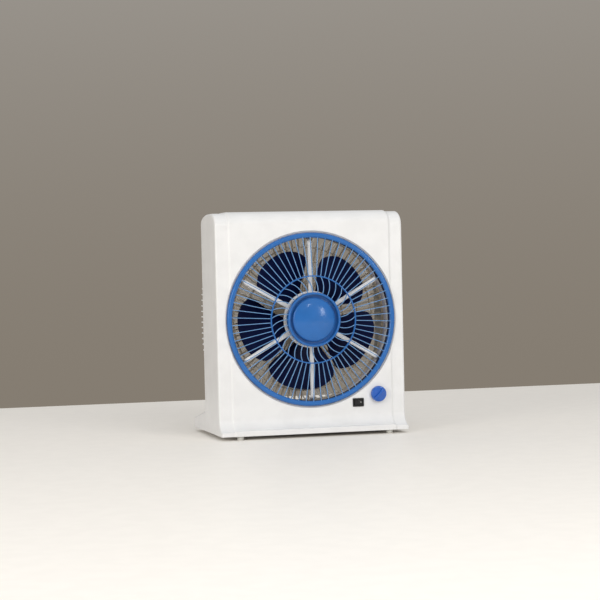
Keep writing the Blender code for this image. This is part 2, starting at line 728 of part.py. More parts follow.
def speed_control():
    """The knob with its grip bar, the switch behind the panel and the spindle between them."""
    edge, face, back, chamfer = 0.0075, 0.009, 0.0008, 0.0015
    bore, bore_end = 0.0033, 0.007
    profile = [
        (0, face), (KNOB_RADIUS - chamfer, face), (KNOB_RADIUS, edge), (KNOB_RADIUS, back), (bore, back),
        (bore, bore_end), (0, bore_end),
    ]
    knob = turned("speed_knob", profile, ROYAL, KNOB_AXIS, 24, closed=False)
    grip_size = (0.0235, 0.0045, 0.006)
    grip = block("knob_grip", grip_size, None, KNOB_AXIS, (0, 0, face + grip_size[2] / 4), math.radians(45))
    bevel = grip.modifiers.new("round", "BEVEL")
    bevel.width = 0.0012
    bevel.segments = 2
    join(knob, grip)
    spindle_end, well = -0.0135, -0.0138
    rod("switch_spindle", bore - GAP, bore_end - GAP, spindle_end, STEEL, KNOB_AXIS, segments=14)
    width, depth, front = 0.026, 0.015, -0.0048
    switch = block("speed_switch", (width, width, depth), BLACK, KNOB_AXIS, (0, 0, front - depth / 2))
    cut(switch, rod("switch_bore", bore, 0.01, well, None, KNOB_AXIS, segments=14))


def rocker_switch():
    """A framed switch in the panel, and its key, which tilts about an upright axis."""
    x, z = SWITCH
    width, height = SWITCH_SIZE
    flange, overhang, body_back, inset, wall = 0.0014, 0.0006, 0.015, 0.001, 0.0014
    flange_size = (width + 2 * overhang, flange, height + 2 * overhang)
    frame = block("rocker_frame", flange_size, BLACK, BODY, (x, -flange / 2 - GAP, z))
    body_size = (width - inset, body_back + inset, height - inset)
    body = block("rocker_body", body_size, None, BODY, (x, (body_back - inset) / 2, z))
    pocket_size = (width - 0.002, 0.012, height - 2 * wall)
    pocket = block("rocker_pocket", pocket_size, None, BODY, (x, 0.002, z))
    join(frame, body)
    cut(frame, pocket)
    outline = [
        (-0.0072, -0.0042), (-0.0036, -0.0030), (0, -0.0026), (0.0036, -0.0030), (0.0072, -0.0042),
        (0.0072, -0.0015), (0.004, 0.0025), (-0.004, 0.0025), (-0.0072, -0.0015),
    ]
    key_height = height - 2 * wall - 0.0008
    rocker = plate("rocker", [outline], key_height, BLACK, BODY, (x, ROCKER_PIVOT, z))
    rocker.rotation_euler = (0, 0, ROCKER_TILT)


def wiring():
    """The mains inlet with its two pins, and the blocks inside the base."""
    x, z = INLET
    body_width, body_height = INLET_BODY
    flange_size, socket_size = (0.023, 0.002, 0.014), (0.0152, 0.020, 0.0066)
    inlet = block("mains_inlet", flange_size, BLACK, BODY, (x, DEPTH + flange_size[1] / 2 + GAP, z))
    join(inlet, block("inlet_body", (body_width, 0.018, body_height), None, BODY, (x, DEPTH - 0.0075, z)))
    cut(inlet, block("inlet_socket", socket_size, None, BODY, (x, DEPTH + 0.002, z)))
    pin_spread, pin_radius, pin_front, pin_back = 0.0045, 0.0012, -0.094, -0.113
    for i, side in enumerate((-1, 1), 1):
        spot = (x + side * pin_spread, z - AXIS_Z)
        cut(inlet, rod(f"pin_hole_{i}", pin_radius + GAP, -0.09, -0.11, None, FAN_AXIS, spot, 8))
        rod(f"inlet_pin_{i}", pin_radius, pin_front, pin_back, STEEL, FAN_AXIS, spot, 8)
    floor = FOOT_TOP + 2 * GAP + WALL + 0.0001
    block_size, can_radius, can_height, depth = (0.040, 0.014, 0.012), 0.010, 0.028, 0.085
    block("terminal_block", block_size, CREAM, BODY, (0.060, depth, floor + block_size[2] / 2))
    rod("capacitor", can_radius, floor, floor + can_height, GREY, BODY, (-0.060, depth), 20)


cavity_tool, rear_half_tool, front_half_tool = case_tools()
front_shell(cavity_tool, rear_half_tool)
rear_shell(cavity_tool, front_half_tool)
base()
duct_ring()
spider()
motor_grid()
rear_guard()
louvre_grille()
hub_cap()
louvre_drive()
impeller()
motor()
speed_control()
rocker_switch()
wiring()
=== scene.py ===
"""Looks of a box fan with a slowly turning louvre grille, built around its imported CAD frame.

Fan coordinates are (x, up, forward): sideways and up from the fan axis, and forward from the front panel.
Case coordinates are (x, depth, height): sideways, back from the front panel, and up from the ground.
All sizes are metres.
"""

from __future__ import annotations

import json
import logging
import math
from dataclasses import dataclass, replace
from enum import Enum
from typing import Callable, Iterable, Sequence

import bmesh
import bpy
from mathutils import Matrix, Vector


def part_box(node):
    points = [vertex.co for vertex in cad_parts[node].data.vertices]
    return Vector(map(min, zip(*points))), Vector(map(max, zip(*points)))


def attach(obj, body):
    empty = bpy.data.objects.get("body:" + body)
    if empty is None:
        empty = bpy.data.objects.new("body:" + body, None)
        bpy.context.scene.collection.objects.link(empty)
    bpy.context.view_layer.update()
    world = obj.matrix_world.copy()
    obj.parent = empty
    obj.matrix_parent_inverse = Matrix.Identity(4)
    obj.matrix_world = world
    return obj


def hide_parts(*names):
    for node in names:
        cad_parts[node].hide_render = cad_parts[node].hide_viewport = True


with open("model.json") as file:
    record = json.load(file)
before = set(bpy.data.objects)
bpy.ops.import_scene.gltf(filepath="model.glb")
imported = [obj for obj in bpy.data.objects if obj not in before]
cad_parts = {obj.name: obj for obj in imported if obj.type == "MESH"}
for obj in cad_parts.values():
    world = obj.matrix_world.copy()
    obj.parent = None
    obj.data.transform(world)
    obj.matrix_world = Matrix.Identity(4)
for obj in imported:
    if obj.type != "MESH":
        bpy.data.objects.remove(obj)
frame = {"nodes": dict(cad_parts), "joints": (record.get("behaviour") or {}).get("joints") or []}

LOG = logging.getLogger("box_fan")
MERGE = 0.00001
SMOOTH_ANGLE = math.radians(32)
Point = tuple[float, float]
Colour = tuple[float, float, float]
Place = tuple[float, float, float]


class Body(Enum):
    """The CAD bodies that pieces ride on."""

    CASE = "case"
    LOUVRE = "louvre"
    IMPELLER = "impeller_unit"
    KNOB = "knob"
    ROCKER = "rocker_key"


class Carve(Enum):
    """What a tool does to the solid it is used on."""

    CUT = "DIFFERENCE"
    JOIN = "UNION"


@dataclass(frozen=True)
class Datum:
    """Where the front panel and the fan axis stand in the row frame."""

    panel_y: float
    axis_z: float

    @classmethod
    def from_frame(cls, lip: float) -> "Datum":
        """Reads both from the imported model.

        Args:
            lip: how far the base stands in front of the panel.

        Returns:
            The datum.
        """
        spin = next(joint for joint in frame["joints"] if joint["name"] == "louvre_spin")
        return cls(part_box("front_shell")[0].y + lip, spin["pos_m"][2])

    @property
    def fan(self) -> Matrix:
        """Turns fan coordinates into the row frame."""
        turn = Matrix.Rotation(math.pi / 2, 4, "X")
        return Matrix.Translation((0, self.panel_y, self.axis_z)) @ turn

    @property
    def case(self) -> Matrix:
        """Turns case coordinates into the row frame."""
        return Matrix.Translation((0, self.panel_y, 0))


DATUM = Datum.from_frame(lip=0.020)


# Node graphs


class Signal:
    """A node's output socket that takes Python operators."""

    def __init__(self, graph: "Graph", socket: bpy.types.NodeSocket) -> None:
        """Keeps the graph and the socket."""
        self.graph = graph
        self.socket = socket

    @property
    def is_vector(self) -> bool:
        """Whether the socket carries a vector."""
        return self.socket.type == "VECTOR"

    def _math(self, operation: str, *values: "Signal | float") -> "Signal":
        """Adds a Math node.

        Args:
            operation: the node's operation.
            values: its inputs in order.

        Returns:
            The result.
        """
        return self.graph.node("ShaderNodeMath", {"operation": operation}, dict(enumerate(values)))

    def _vector_math(self, operation: str, *values: "Signal | float") -> "Signal":
        """Adds a Vector Math node.

        Args:
            operation: the node's operation.
            values: its vector inputs in order.

        Returns:
            The result.
        """
        return self.graph.node("ShaderNodeVectorMath", {"operation": operation}, dict(enumerate(values)))

    def _either(self, operation: str, first: "Signal | float", second: "Signal | float") -> "Signal":
        """Adds a Math or a Vector Math node, by what the inputs carry.

        Args:
            operation: the operation, which both nodes have.
            first: the first input.
            second: the second input.

        Returns:
            The result.
        """
        vector = any(isinstance(value, Signal) and value.is_vector for value in (first, second))
        return (self._vector_math if vector else self._math)(operation, first, second)

    def __add__(self, other: "Signal | float") -> "Signal":
        """Sum."""
        return self._either("ADD", self, other)

    __radd__ = __add__

    def __sub__(self, other: "Signal | float") -> "Signal":
        """Difference."""
        return self._either("SUBTRACT", self, other)

    def __rsub__(self, other: "Signal | float") -> "Signal":
        """Difference from a number."""
        return self._either("SUBTRACT", other, self)

    def __mul__(self, other: "Signal | float") -> "Signal":
        """Product. A vector is scaled by a value."""
        if self.is_vector:
            return self.graph.node("ShaderNodeVectorMath", {"operation": "SCALE"}, {0: self, "Scale": other})
        return self._math("MULTIPLY", self, other)

    __rmul__ = __mul__

    def __truediv__(self, other: "Signal | float") -> "Signal":
        """Quotient."""
        return self._math("DIVIDE", self, other)

    def __rtruediv__(self, other: "Signal | float") -> "Signal":
        """A number over this."""
        return self._math("DIVIDE", other, self)

    def __pow__(self, power: "Signal | float") -> "Signal":
        """Power."""
        return self._math("POWER", self, power)

    def __abs__(self) -> "Signal":
        """Size without sign."""
        return self._math("ABSOLUTE", self)

    def sine(self) -> "Signal":
        """Sine of an angle in radians."""
        return self._math("SINE", self)

    def cosine(self) -> "Signal":
        """Cosine of an angle in radians."""
        return self._math("COSINE", self)

    def sign(self) -> "Signal":
        """One with this value's sign."""
        return self._math("SIGN", self)

    def at_most(self, limit: "Signal | float") -> "Signal":
        """The smaller of the two."""
        return self._math("MINIMUM", self, limit)

    def at_least(self, limit: "Signal | float") -> "Signal":
        """The larger of the two."""
        return self._math("MAXIMUM", self, limit)

    def cross(self, other: "Signal") -> "Signal":
        """Cross product of two vectors."""
        return self._vector_math("CROSS_PRODUCT", self, other)

    def unit(self) -> "Signal":
        """The vector at length one."""
        return self._vector_math("NORMALIZE", self)

    def ramp(self, low: float, high: float) -> "Signal":
        """A smooth 0 to 1 as this value goes from low to high."""
        settings = {"interpolation_type": "SMOOTHSTEP", "clamp": True}
        return self.graph.node("ShaderNodeMapRange", settings, {0: self, 1: low, 2: high})


class Graph:
    """A node tree under construction."""

    def __init__(self, tree: bpy.types.NodeTree) -> None:
        """Starts on an empty tree."""
        self.tree = tree
        tree.nodes.clear()

    def node(
        self,
        kind: str,
        settings: dict[str, object] | None = None,
        inputs: dict[int | str, object] | None = None,
        output: int | str = 0,
    ) -> Signal:
        """Adds any node.

        Args:
            kind: the node's type.
            settings: its properties, set first.
            inputs: values or signals, by socket name or number.
            output: which output is wanted.

        Returns:
            That output.
        """
        node = self.tree.nodes.new(kind)
        for name, value in (settings or {}).items():
            setattr(node, name, value)
        for key, value in (inputs or {}).items():
            if isinstance(value, Signal):
                self.tree.links.new(value.socket, node.inputs[key])
            elif isinstance(value, (int, float)) and node.inputs[key].type == "VECTOR":
                node.inputs[key].default_value = (value, value, value)
            else:
                node.inputs[key].default_value = value
        outputs = [socket for socket in node.outputs if socket.enabled]
        return Signal(
            self, outputs[0] if output == 0 else node.outputs[output]
        ) if outputs else Signal(self, None)

    def vector(self, x: Signal | float, y: Signal | float, z: Signal | float) -> Signal:
        """A vector of three values."""
        return self.node("ShaderNodeCombineXYZ", None, {0: x, 1: y, 2: z})

    def parts(self, vector: Signal) -> tuple[Signal, Signal, Signal]:
        """The three values of a vector."""
        split = self.node("ShaderNodeSeparateXYZ", None, {0: vector}).socket.node
        return tuple(Signal(self, socket) for socket in split.outputs)

    def blend(self, factor: Signal | float, first: object, second: object) -> Signal:
        """Mixes two colours.

        Args:
            factor: 0 for the first, 1 for the second.
            first: a colour or a signal.
            second: a colour or a signal.

        Returns:
            The mixed colour.
        """
        inputs = {0: factor, 6: self._with_alpha(first), 7: self._with_alpha(second)}
        return self.node("ShaderNodeMix", {"data_type": "RGBA"}, inputs, 2)

    @staticmethod
    def _with_alpha(colour: object) -> object:
        """A plain colour with its alpha, or the signal as it is."""
        return colour if isinstance(colour, Signal) else (*colour, 1.0)


# Finishes


@dataclass(frozen=True)
class Finish:
    """A surface: its record slot, colour and how its gloss and grain vary.

    grain is the height of the fine texture and grain_size its spacing. wave and wave_size are the slow
    unevenness of a moulded or cast face. mottle is how far the colour drifts, and haze how far the roughness
    does. scuffs adds faint handling marks.
    """

    slot: str
    colour: Colour
    roughness: float
    variant: str = ""
    metallic: float = 0.0
    coat: float = 0.0
    coat_roughness: float = 0.12
    specular: float = 0.5
    grain: float = 0.00002
    grain_size: float = 0.0006
    wave: float = 0.00015
    wave_size: float = 0.03
    mottle: float = 0.04
    haze: float = 0.06
    scuffs: float = 0.0

    @property
    def name(self) -> str:
        """The material's name."""
        return f"{self.slot}{self.variant}_finish"

    def material(self) -> bpy.types.Material:
        """The material, made once.

        Returns:
            The node-based material.
        """
        made = bpy.data.materials.get(self.name)
        if made:
            return made
        material = bpy.data.materials.new(self.name)
        material.use_nodes = True
        material.diffuse_color = (*self.colour, 1.0)
        graph = Graph(material.node_tree)
        place = graph.node("ShaderNodeTexCoord", None, None, "Object")
        colour, roughness, height = self.surface(graph, place)
        inputs = {
            "Base Color": colour,
            "Roughness": roughness.at_least(0.05).at_most(1.0),
            "Metallic": self.metallic,
            "Specular IOR Level": self.specular,
            "Coat Weight": self.coat,
            "Coat Roughness": self.coat_roughness,
            "Normal": graph.node("ShaderNodeBump", None, {"Distance": 1.0, "Height": height}),
        }
        shader = graph.node("ShaderNodeBsdfPrincipled", None, inputs)
        graph.node("ShaderNodeOutputMaterial", None, {"Surface": shader})
        return material

    def surface(self, graph: Graph, place: Signal) -> tuple[Signal, Signal, Signal]:
        """What varies over the surface.

        Args:
            graph: the material's graph.
            place: the point in the row frame.

        Returns:
            Base colour, roughness and height.
        """
        slow = noise(graph, place, self.wave_size, 3.0)
        fine = noise(graph, place, self.grain_size, 2.0)
        shade = tuple(channel * (1 - self.mottle) for channel in self.colour)
        colour = graph.blend(slow.ramp(0.35, 0.65), shade, self.colour)
        roughness = self.roughness + self.haze * (noise(graph, place, self.wave_size * 0.4, 4.0) - 0.5)
        if self.scuffs:
            marks = scuff_marks(graph, place) * self.scuffs
            roughness = roughness + marks * 0.25
            colour = graph.blend(marks * 0.5, colour, tuple(min(1.0, 0.3 + 0.7 * c) for c in self.colour))
        return colour, roughness, fine * self.grain + slow * self.wave


def noise(graph: Graph, place: Signal, size: float, detail: float) -> Signal:
    """Noise whose features are about this size.

    Args:
        graph: the graph.
        place: the point it is read at.
        size: the features' size.
        detail: octaves of finer noise on top.

    Returns:
        A value of about 0 to 1.
    """
    return graph.node("ShaderNodeTexNoise", None, {"Vector": place, "Scale": 1 / size, "Detail": detail})


def scuff_marks(graph: Graph, place: Signal) -> Signal:
    """Sparse short scratches, 0 where there are none.

    Args:
        graph: the graph.
        place: the point in the row frame.

    Returns:
        The mask.
    """
    stretched = graph.node(
        "ShaderNodeMapping", None, {"Vector": place, "Rotation": (0.3, 0.5, 0.6), "Scale": (12, 400, 60)}
    )
    lines = noise(graph, stretched, 1.0, 1.0).ramp(0.70, 0.76)
    return lines * noise(graph, place, 0.05, 2.0).ramp(0.52, 0.66)


@dataclass(frozen=True)
class TurnedMetal(Finish):
    """Metal with fine rings round the fan axis, as a lathe or a press leaves them."""

    pitch: float = 0.0012

    def surface(self, graph: Graph, place: Signal) -> tuple[Signal, Signal, Signal]:
        """Adds the rings to the plain surface.

        Args:
            graph: the material's graph.
            place: the point in the row frame.

        Returns:
            Base colour, roughness and height.
        """
        colour, roughness, height = super().surface(graph, place)
        x, _, z = graph.parts(place)
        reach = (x**2.0 + (z - DATUM.axis_z) ** 2.0) ** 0.5
        rings = (reach * (math.tau / self.pitch) + noise(graph, place, 0.004, 1.0) * 2.0).sine()
        return colour, roughness + rings * 0.03, height + rings * 0.00001


@dataclass(frozen=True)
class Laminations(Finish):
    """Stacked sheets seen from their edges, with a dark line between them."""

    sheet: float = 0.0010

    def surface(self, graph: Graph, place: Signal) -> tuple[Signal, Signal, Signal]:
        """Adds the sheets' edges to the plain surface.

        Args:
            graph: the material's graph.
            place: the point in the row frame.

        Returns:
            Base colour, roughness and height.
        """
        colour, roughness, height = super().surface(graph, place)
        _, depth, _ = graph.parts(place)
        groove = (depth * (math.tau / self.sheet)).sine().ramp(0.6, 1.0)
        dark = tuple(channel * 0.3 for channel in self.colour)
        return graph.blend(groove * 0.8, colour, dark), roughness + groove * 0.2, height - groove * 0.0001


@dataclass(frozen=True)
class Windings(Finish):
    """Enamelled wire laid round the fan axis, strand beside strand."""

    strand: float = 0.0008

    def surface(self, graph: Graph, place: Signal) -> tuple[Signal, Signal, Signal]:
        """Adds the strands to the plain surface.

        Args:
            graph: the material's graph.
            place: the point in the row frame.

        Returns:
            Base colour, roughness and height.
        """
        colour, roughness, height = super().surface(graph, place)
        x, depth, z = graph.parts(place)
        reach = (x**2.0 + (z - DATUM.axis_z) ** 2.0) ** 0.5
        drift = noise(graph, place, 0.006, 2.0) * 3.0
        strands = ((reach + depth) * (math.tau / self.strand) + drift).sine()
        dark = tuple(channel * 0.45 for channel in self.colour)
        return graph.blend(strands.ramp(-1.0, 0.2), dark, colour), roughness, height + strands * 0.0001


WHITE = Finish("white_plastic", (0.80, 0.80, 0.80), 0.38, coat=0.1, grain=0.000010, wave=0.00010, scuffs=0.10)
# A tan cream, partly the plastic's own colour and partly painted shade: darkened and warmed for the shaded
# inside of the case.
SHADED_CREAM = Finish("cream_plastic", (0.62, 0.53, 0.40), 0.45, grain=0.00003, mottle=0.12)
# A lavender grey, partly the plastic's own colour and partly painted light: made paler and bluer so that the
# shaded duct wall looks lit.
GREY = Finish("grey_plastic", (0.66, 0.66, 0.84), 0.48, grain=0.00003)
BLUE = Finish(
    "blue_plastic", (0.018, 0.135, 0.43), 0.30, coat=0.5, coat_roughness=0.12, specular=0.2, grain=0.000006,
    wave=0.00003, mottle=0.08,
)
# The ribs' paler blue is painted highlight: the same blue plastic lightened to show the light that their
# rounded fronts catch.
RIB_HIGHLIGHT_BLUE = replace(BLUE, variant="_ribs", colour=(0.13, 0.31, 0.60), roughness=0.22, coat=1.0, specular=0.6)
NAVY = Finish("navy_plastic", (0.001, 0.005, 0.042), 0.42, specular=0.12, grain=0.00001, mottle=0.2)
ROYAL = Finish(
    "royal_blue_plastic", (0.012, 0.105, 0.47), 0.26, coat=0.5, coat_roughness=0.08, specular=0.3,
    grain=0.000006,
    wave=0.00003,
)
BLACK = Finish("black_plastic", (0.010, 0.010, 0.011), 0.33, grain=0.00002, mottle=0.2)
RUBBER = Finish("pale_rubber", (0.62, 0.62, 0.59), 0.65, grain=0.00004, grain_size=0.0004)
STEEL = TurnedMetal("bright_steel", (0.56, 0.56, 0.57), 0.26, metallic=1.0, wave=0.00001)
LAMINATION = Laminations("lamination_steel", (0.26, 0.26, 0.27), 0.42, metallic=1.0)
COPPER = Windings("enamelled_copper", (0.52, 0.20, 0.07), 0.32, metallic=1.0)
ZINC = TurnedMetal("zinc_plate", (0.50, 0.51, 0.53), 0.38, metallic=1.0, mottle=0.15, pitch=0.002)
LEGEND = Finish("white_ink", (0.75, 0.75, 0.72), 0.5, grain=0.00001)


# Mesh building


def arc(centre: Point, radii: Point, start: float, end: float, count: int) -> list[Point]:
    """Points on an ellipse.

    Args:
        centre: its centre.
        radii: its half width and half height.
        start: first angle in degrees.
        end: last angle in degrees.
        count: steps between them.

    Returns:
        The points, both ends included.
    """
    angles = [math.radians(start + (end - start) * i / count) for i in range(count + 1)]
    return [(centre[0] + radii[0] * math.cos(a), centre[1] + radii[1] * math.sin(a)) for a in angles]


def soften(outline: Sequence[Point], reach: float, steps: int = 3, closed: bool = True) -> list[Point]:
    """Rounds the corners of an outline.

    Args:
        outline: its corners.
        reach: how far from a corner the rounding starts, as far as the sides have room.
        steps: steps in each rounding.
        closed: whether the last corner joins the first. If not, both ends stay sharp.

    Returns:
        The rounded outline.
    """
    corners = [Vector(corner) for corner in outline]
    rounded: list[Point] = []
    for i, corner in enumerate(corners):
        if not closed and i in (0, len(corners) - 1):
            rounded.append(tuple(corner))
            continue
        before, after = corners[i - 1] - corner, corners[(i + 1) % len(corners)] - corner
        room = min(reach, before.length * 0.45, after.length * 0.45)
        start, end = corner + before.normalized() * room, corner + after.normalized() * room
        for step in range(steps + 1):
            t = step / steps
            rounded.append(tuple(start * (1 - t) ** 2 + corner * (2 * t * (1 - t)) + end * t**2))
    return rounded


def finished(
    grid: bmesh.types.BMesh, place: Matrix | None = None, angle: float = SMOOTH_ANGLE
) -> bpy.types.Mesh:
    """Closes a mesh build.

    Args:
        grid: the build, which is freed.
        place: where it goes in the row frame.
        angle: edges sharper than this stay sharp.

    Returns:
        The mesh, its faces turned outwards and smooth.
    """
    bmesh.ops.remove_doubles(grid, verts=grid.verts, dist=MERGE)
    bmesh.ops.recalc_face_normals(grid, faces=grid.faces)
    mesh = bpy.data.meshes.new("build")
    grid.to_mesh(mesh)
    grid.free()
    if place:
        mesh.transform(place)
    mesh.shade_smooth()
    mesh.set_sharp_from_angle(angle=angle)
    return mesh


def turned(
    profile: Sequence[Point],
    steps: int = 96,
    centre: Point = (0.0, 0.0),
    closed: bool = True,
    reach: Callable[[float], float] = lambda angle: 0.0,
    place: Matrix | None = None,
) -> bpy.types.Mesh:
    """A profile turned about the forward axis.

    Args:
        profile: (radius, forward) points.
        steps: steps round the axis.
        centre: the axis's (x, up).
        closed: whether the last point joins the first. If not, both ends are on the axis.
        reach: what is added to every radius at an angle, which makes other outlines than round ones.
        place: where it goes, which is the fan's place unless given.

    Returns:
        The mesh in the row frame.
    """
    grid = bmesh.new()
    angles = [math.tau * (i + 0.5) / steps for i in range(steps)]
    rows = []
    for radius, forward in profile:
        row = []
        for angle in angles:
            far = radius + reach(angle) if radius > MERGE else 0.0
            row.append(
                grid.verts.new(
                    (centre[0] + far * math.cos(angle), centre[1] + far * math.sin(angle), forward)
                )
            )
        rows.append(row)
    pairs = list(zip(rows, rows[1:])) + ([(rows[-1], rows[0])] if closed else [])
    for row, following in pairs:
        for i in range(steps):
            j = (i + 1) % steps
            grid.faces.new((row[i], row[j], following[j], following[i]))
    bmesh.ops.remove_doubles(grid, verts=grid.verts, dist=MERGE)
    return finished(grid, place or DATUM.fan)


def lofted(rows: Sequence[Sequence[Vector]], place: Matrix | None = None) -> bpy.types.Mesh:
    """A closed skin through outlines of the same number of points.

    Args:
        rows: the outlines, from one end to the other.
        place: where it goes in the row frame.

    Returns:
        The mesh.
    """
    grid = bmesh.new()
    rings = [[grid.verts.new(point) for point in row] for row in rows]
    for ring, following in zip(rings, rings[1:]):
        for i in range(len(ring)):
            j = (i + 1) % len(ring)
            grid.faces.new((ring[i], ring[j], following[j], following[i]))
    grid.faces.new(rings[0])
    grid.faces.new(rings[-1])
    return finished(grid, place)


def prism(outline: Sequence[Point], low: float, high: float, bevel: float, place: Matrix) -> bpy.types.Mesh:
    """An outline raised along its third axis, with rounded rims.

    Args:
        outline: its (x, y) corners.
        low: where it starts along z.
        high: where it ends along z.
        bevel: how far the rims are rounded.
        place: where it goes in the row frame.

    Returns:
        The mesh.
    """
    centre = sum((Vector(point) for point in outline), Vector((0, 0))) / len(outline)
    rows = []
    for inset, level in ((bevel, low), (bevel * 0.3, low + bevel * 0.3), (0, low + bevel),
                         (0, high - bevel), (bevel * 0.3, high - bevel * 0.3), (bevel, high)):
        row = []
        for point in outline:
            away = Vector(point) - centre
            row.append(Vector((*(Vector(point) - away.normalized() * inset), level)))
        rows.append(row)
    return lofted(rows, place)


def box_outline(width: float, height: float, corner: float = 0.0, centre: Point = (0.0, 0.0)) -> list[Point]:
    """A rectangle with rounded corners.

    Args:
        width: its width.
        height: its height.
        corner: how far its corners are rounded.
        centre: its centre.

    Returns:
        The outline.
    """
    x, y = width / 2, height / 2
    outline = [(centre[0] + a * x, centre[1] + b * y) for a, b in ((-1, -1), (1, -1), (1, 1), (-1, 1))]
    return soften(outline, corner, 4) if corner else outline


def merged(meshes: Iterable[bpy.types.Mesh]) -> bpy.types.Mesh:
    """One mesh that holds several."""
    grid = bmesh.new()
    for mesh in meshes:
        grid.from_mesh(mesh)
        bpy.data.meshes.remove(mesh)
    whole = bpy.data.meshes.new("build")
    grid.to_mesh(whole)
    grid.free()
    return whole


def evaluated(obj: bpy.types.Object) -> bpy.types.Mesh:
    """A plain mesh of what an object's modifiers make. The object is removed."""
    graph = bpy.context.evaluated_depsgraph_get()
    mesh = bpy.data.meshes.new_from_object(
        obj.evaluated_get(graph), preserve_all_data_layers=True, depsgraph=graph
    )
    bpy.data.objects.remove(obj)
    return mesh


def linked(name: str, mesh: bpy.types.Mesh) -> bpy.types.Object:
    """A new object in the scene."""
    obj = bpy.data.objects.new(name, mesh)
    bpy.context.scene.collection.objects.link(obj)
    return obj


def carved(solid: bpy.types.Mesh, tools: Sequence[tuple[Carve, bpy.types.Mesh]]) -> bpy.types.Mesh:
    """A solid after its tools have been used on it in order.

    Args:
        solid: the mesh to work on.
        tools: what each tool does, and its mesh.

    Returns:
        The new mesh, with its flat faces shaded flat and its round ones smooth.
    """
    target = linked("solid", solid)
    helpers = []
    for action, mesh in tools:
        helper = linked("tool", mesh)
        helpers.append(helper)
        modifier = target.modifiers.new("carve", "BOOLEAN")
        modifier.operation = action.value
        modifier.object = helper
        modifier.solver = "EXACT"
    result = evaluated(target)
    for helper in helpers:
        bpy.data.objects.remove(helper)
    result.shade_smooth()
    result.set_sharp_from_angle(angle=SMOOTH_ANGLE)
    weighted = linked("weighted", result)
    modifier = weighted.modifiers.new("weighted_normals", "WEIGHTED_NORMAL")
    modifier.keep_sharp = True
    modifier.weight = 50
    return evaluated(weighted)


def piece(
    name: str, mesh: bpy.types.Mesh, finish: Finish, body: Body, nodes: Sequence[str] = ()
) -> bpy.types.Object:
    """Makes a finished piece of a mesh.

    Args:
        name: the piece's name.
        mesh: its mesh, in the row frame.
        finish: what it is made of.
        body: the CAD body that it rides on.
        nodes: the CAD nodes that it stands for.

    Returns:
        The object.
    """
    mesh.name = name
    obj = linked(name, mesh)
    mesh.materials.clear()
    mesh.materials.append(finish.material())
    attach(obj, body.value)
    if nodes:
        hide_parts(*nodes)
    triangles = sum(len(face.vertices) - 2 for face in mesh.polygons)
    LOG.info("%s: %s triangles of %s on %s", name, triangles, finish.slot, body.value)
    return obj


# Geometry Nodes


class PieceTree:
    """A Geometry Nodes tree with named inputs that makes one kind of repeated piece."""

    def __init__(self, name: str, sizes: dict[str, float], finish: Finish) -> None:
        """Makes the empty tree and its inputs.

        Args:
            name: the tree's name.
            sizes: its named inputs with their values. A whole number makes a whole-number input.
            finish: its material input's value.
        """
        self.name = name
        self.values: dict[str, object] = {**sizes, "Material": finish.material()}
        self.group = bpy.data.node_groups.new(name, "GeometryNodeTree")
        self.identifiers: dict[str, str] = {}
        interface = self.group.interface
        interface.new_socket("Places", in_out="INPUT", socket_type="NodeSocketGeometry")
        interface.new_socket("Pieces", in_out="OUTPUT", socket_type="NodeSocketGeometry")
        for label, value in self.values.items():
            kind = {int: "NodeSocketInt", float: "NodeSocketFloat"}.get(type(value), "NodeSocketMaterial")
            socket = interface.new_socket(label, in_out="INPUT", socket_type=kind)
            self.identifiers[label] = socket.identifier
        self.graph = Graph(self.group)
        self.inputs = self.graph.node("NodeGroupInput").socket.node

    def size(self, label: str) -> Signal:
        """A named input."""
        return Signal(self.graph, self.inputs.outputs[label])

    def pieces(self) -> Signal:
        """The instances, which each kind of tree makes in its own way."""
        raise NotImplementedError

    def shaped(self, pieces: Signal) -> Signal:
        """What is done to the pieces once they are real meshes, which is nothing here."""
        return pieces

    def mesh(self, places: Sequence[Vector] = (), place: Matrix | None = None) -> bpy.types.Mesh:
        """Runs the tree.

        Args:
            places: the points that the tree is given, for a tree that uses them.
            place: where the result goes, which is the fan's place unless given.

        Returns:
            A plain mesh in the row frame.
        """
        graph = self.graph
        real = self.shaped(graph.node("GeometryNodeRealizeInstances", None, {0: self.pieces()}))
        real = graph.node("GeometryNodeRealizeInstances", None, {0: real})
        dressed = graph.node(
            "GeometryNodeSetMaterial", None, {"Geometry": real, "Material": self.size("Material")}
        )
        graph.node("NodeGroupOutput", None, {0: dressed})
        host = bpy.data.meshes.new("places")
        host.from_pydata([tuple(point) for point in places], [], [])
        obj = linked(self.name, host)
        modifier = obj.modifiers.new("pieces", "NODES")
        modifier.node_group = self.group
        for label, value in self.values.items():
            modifier[self.identifiers[label]] = value
        result = evaluated(obj)
        result.transform(place or DATUM.fan)
        result.shade_smooth()
        result.set_sharp_from_angle(angle=math.radians(50))
        return result


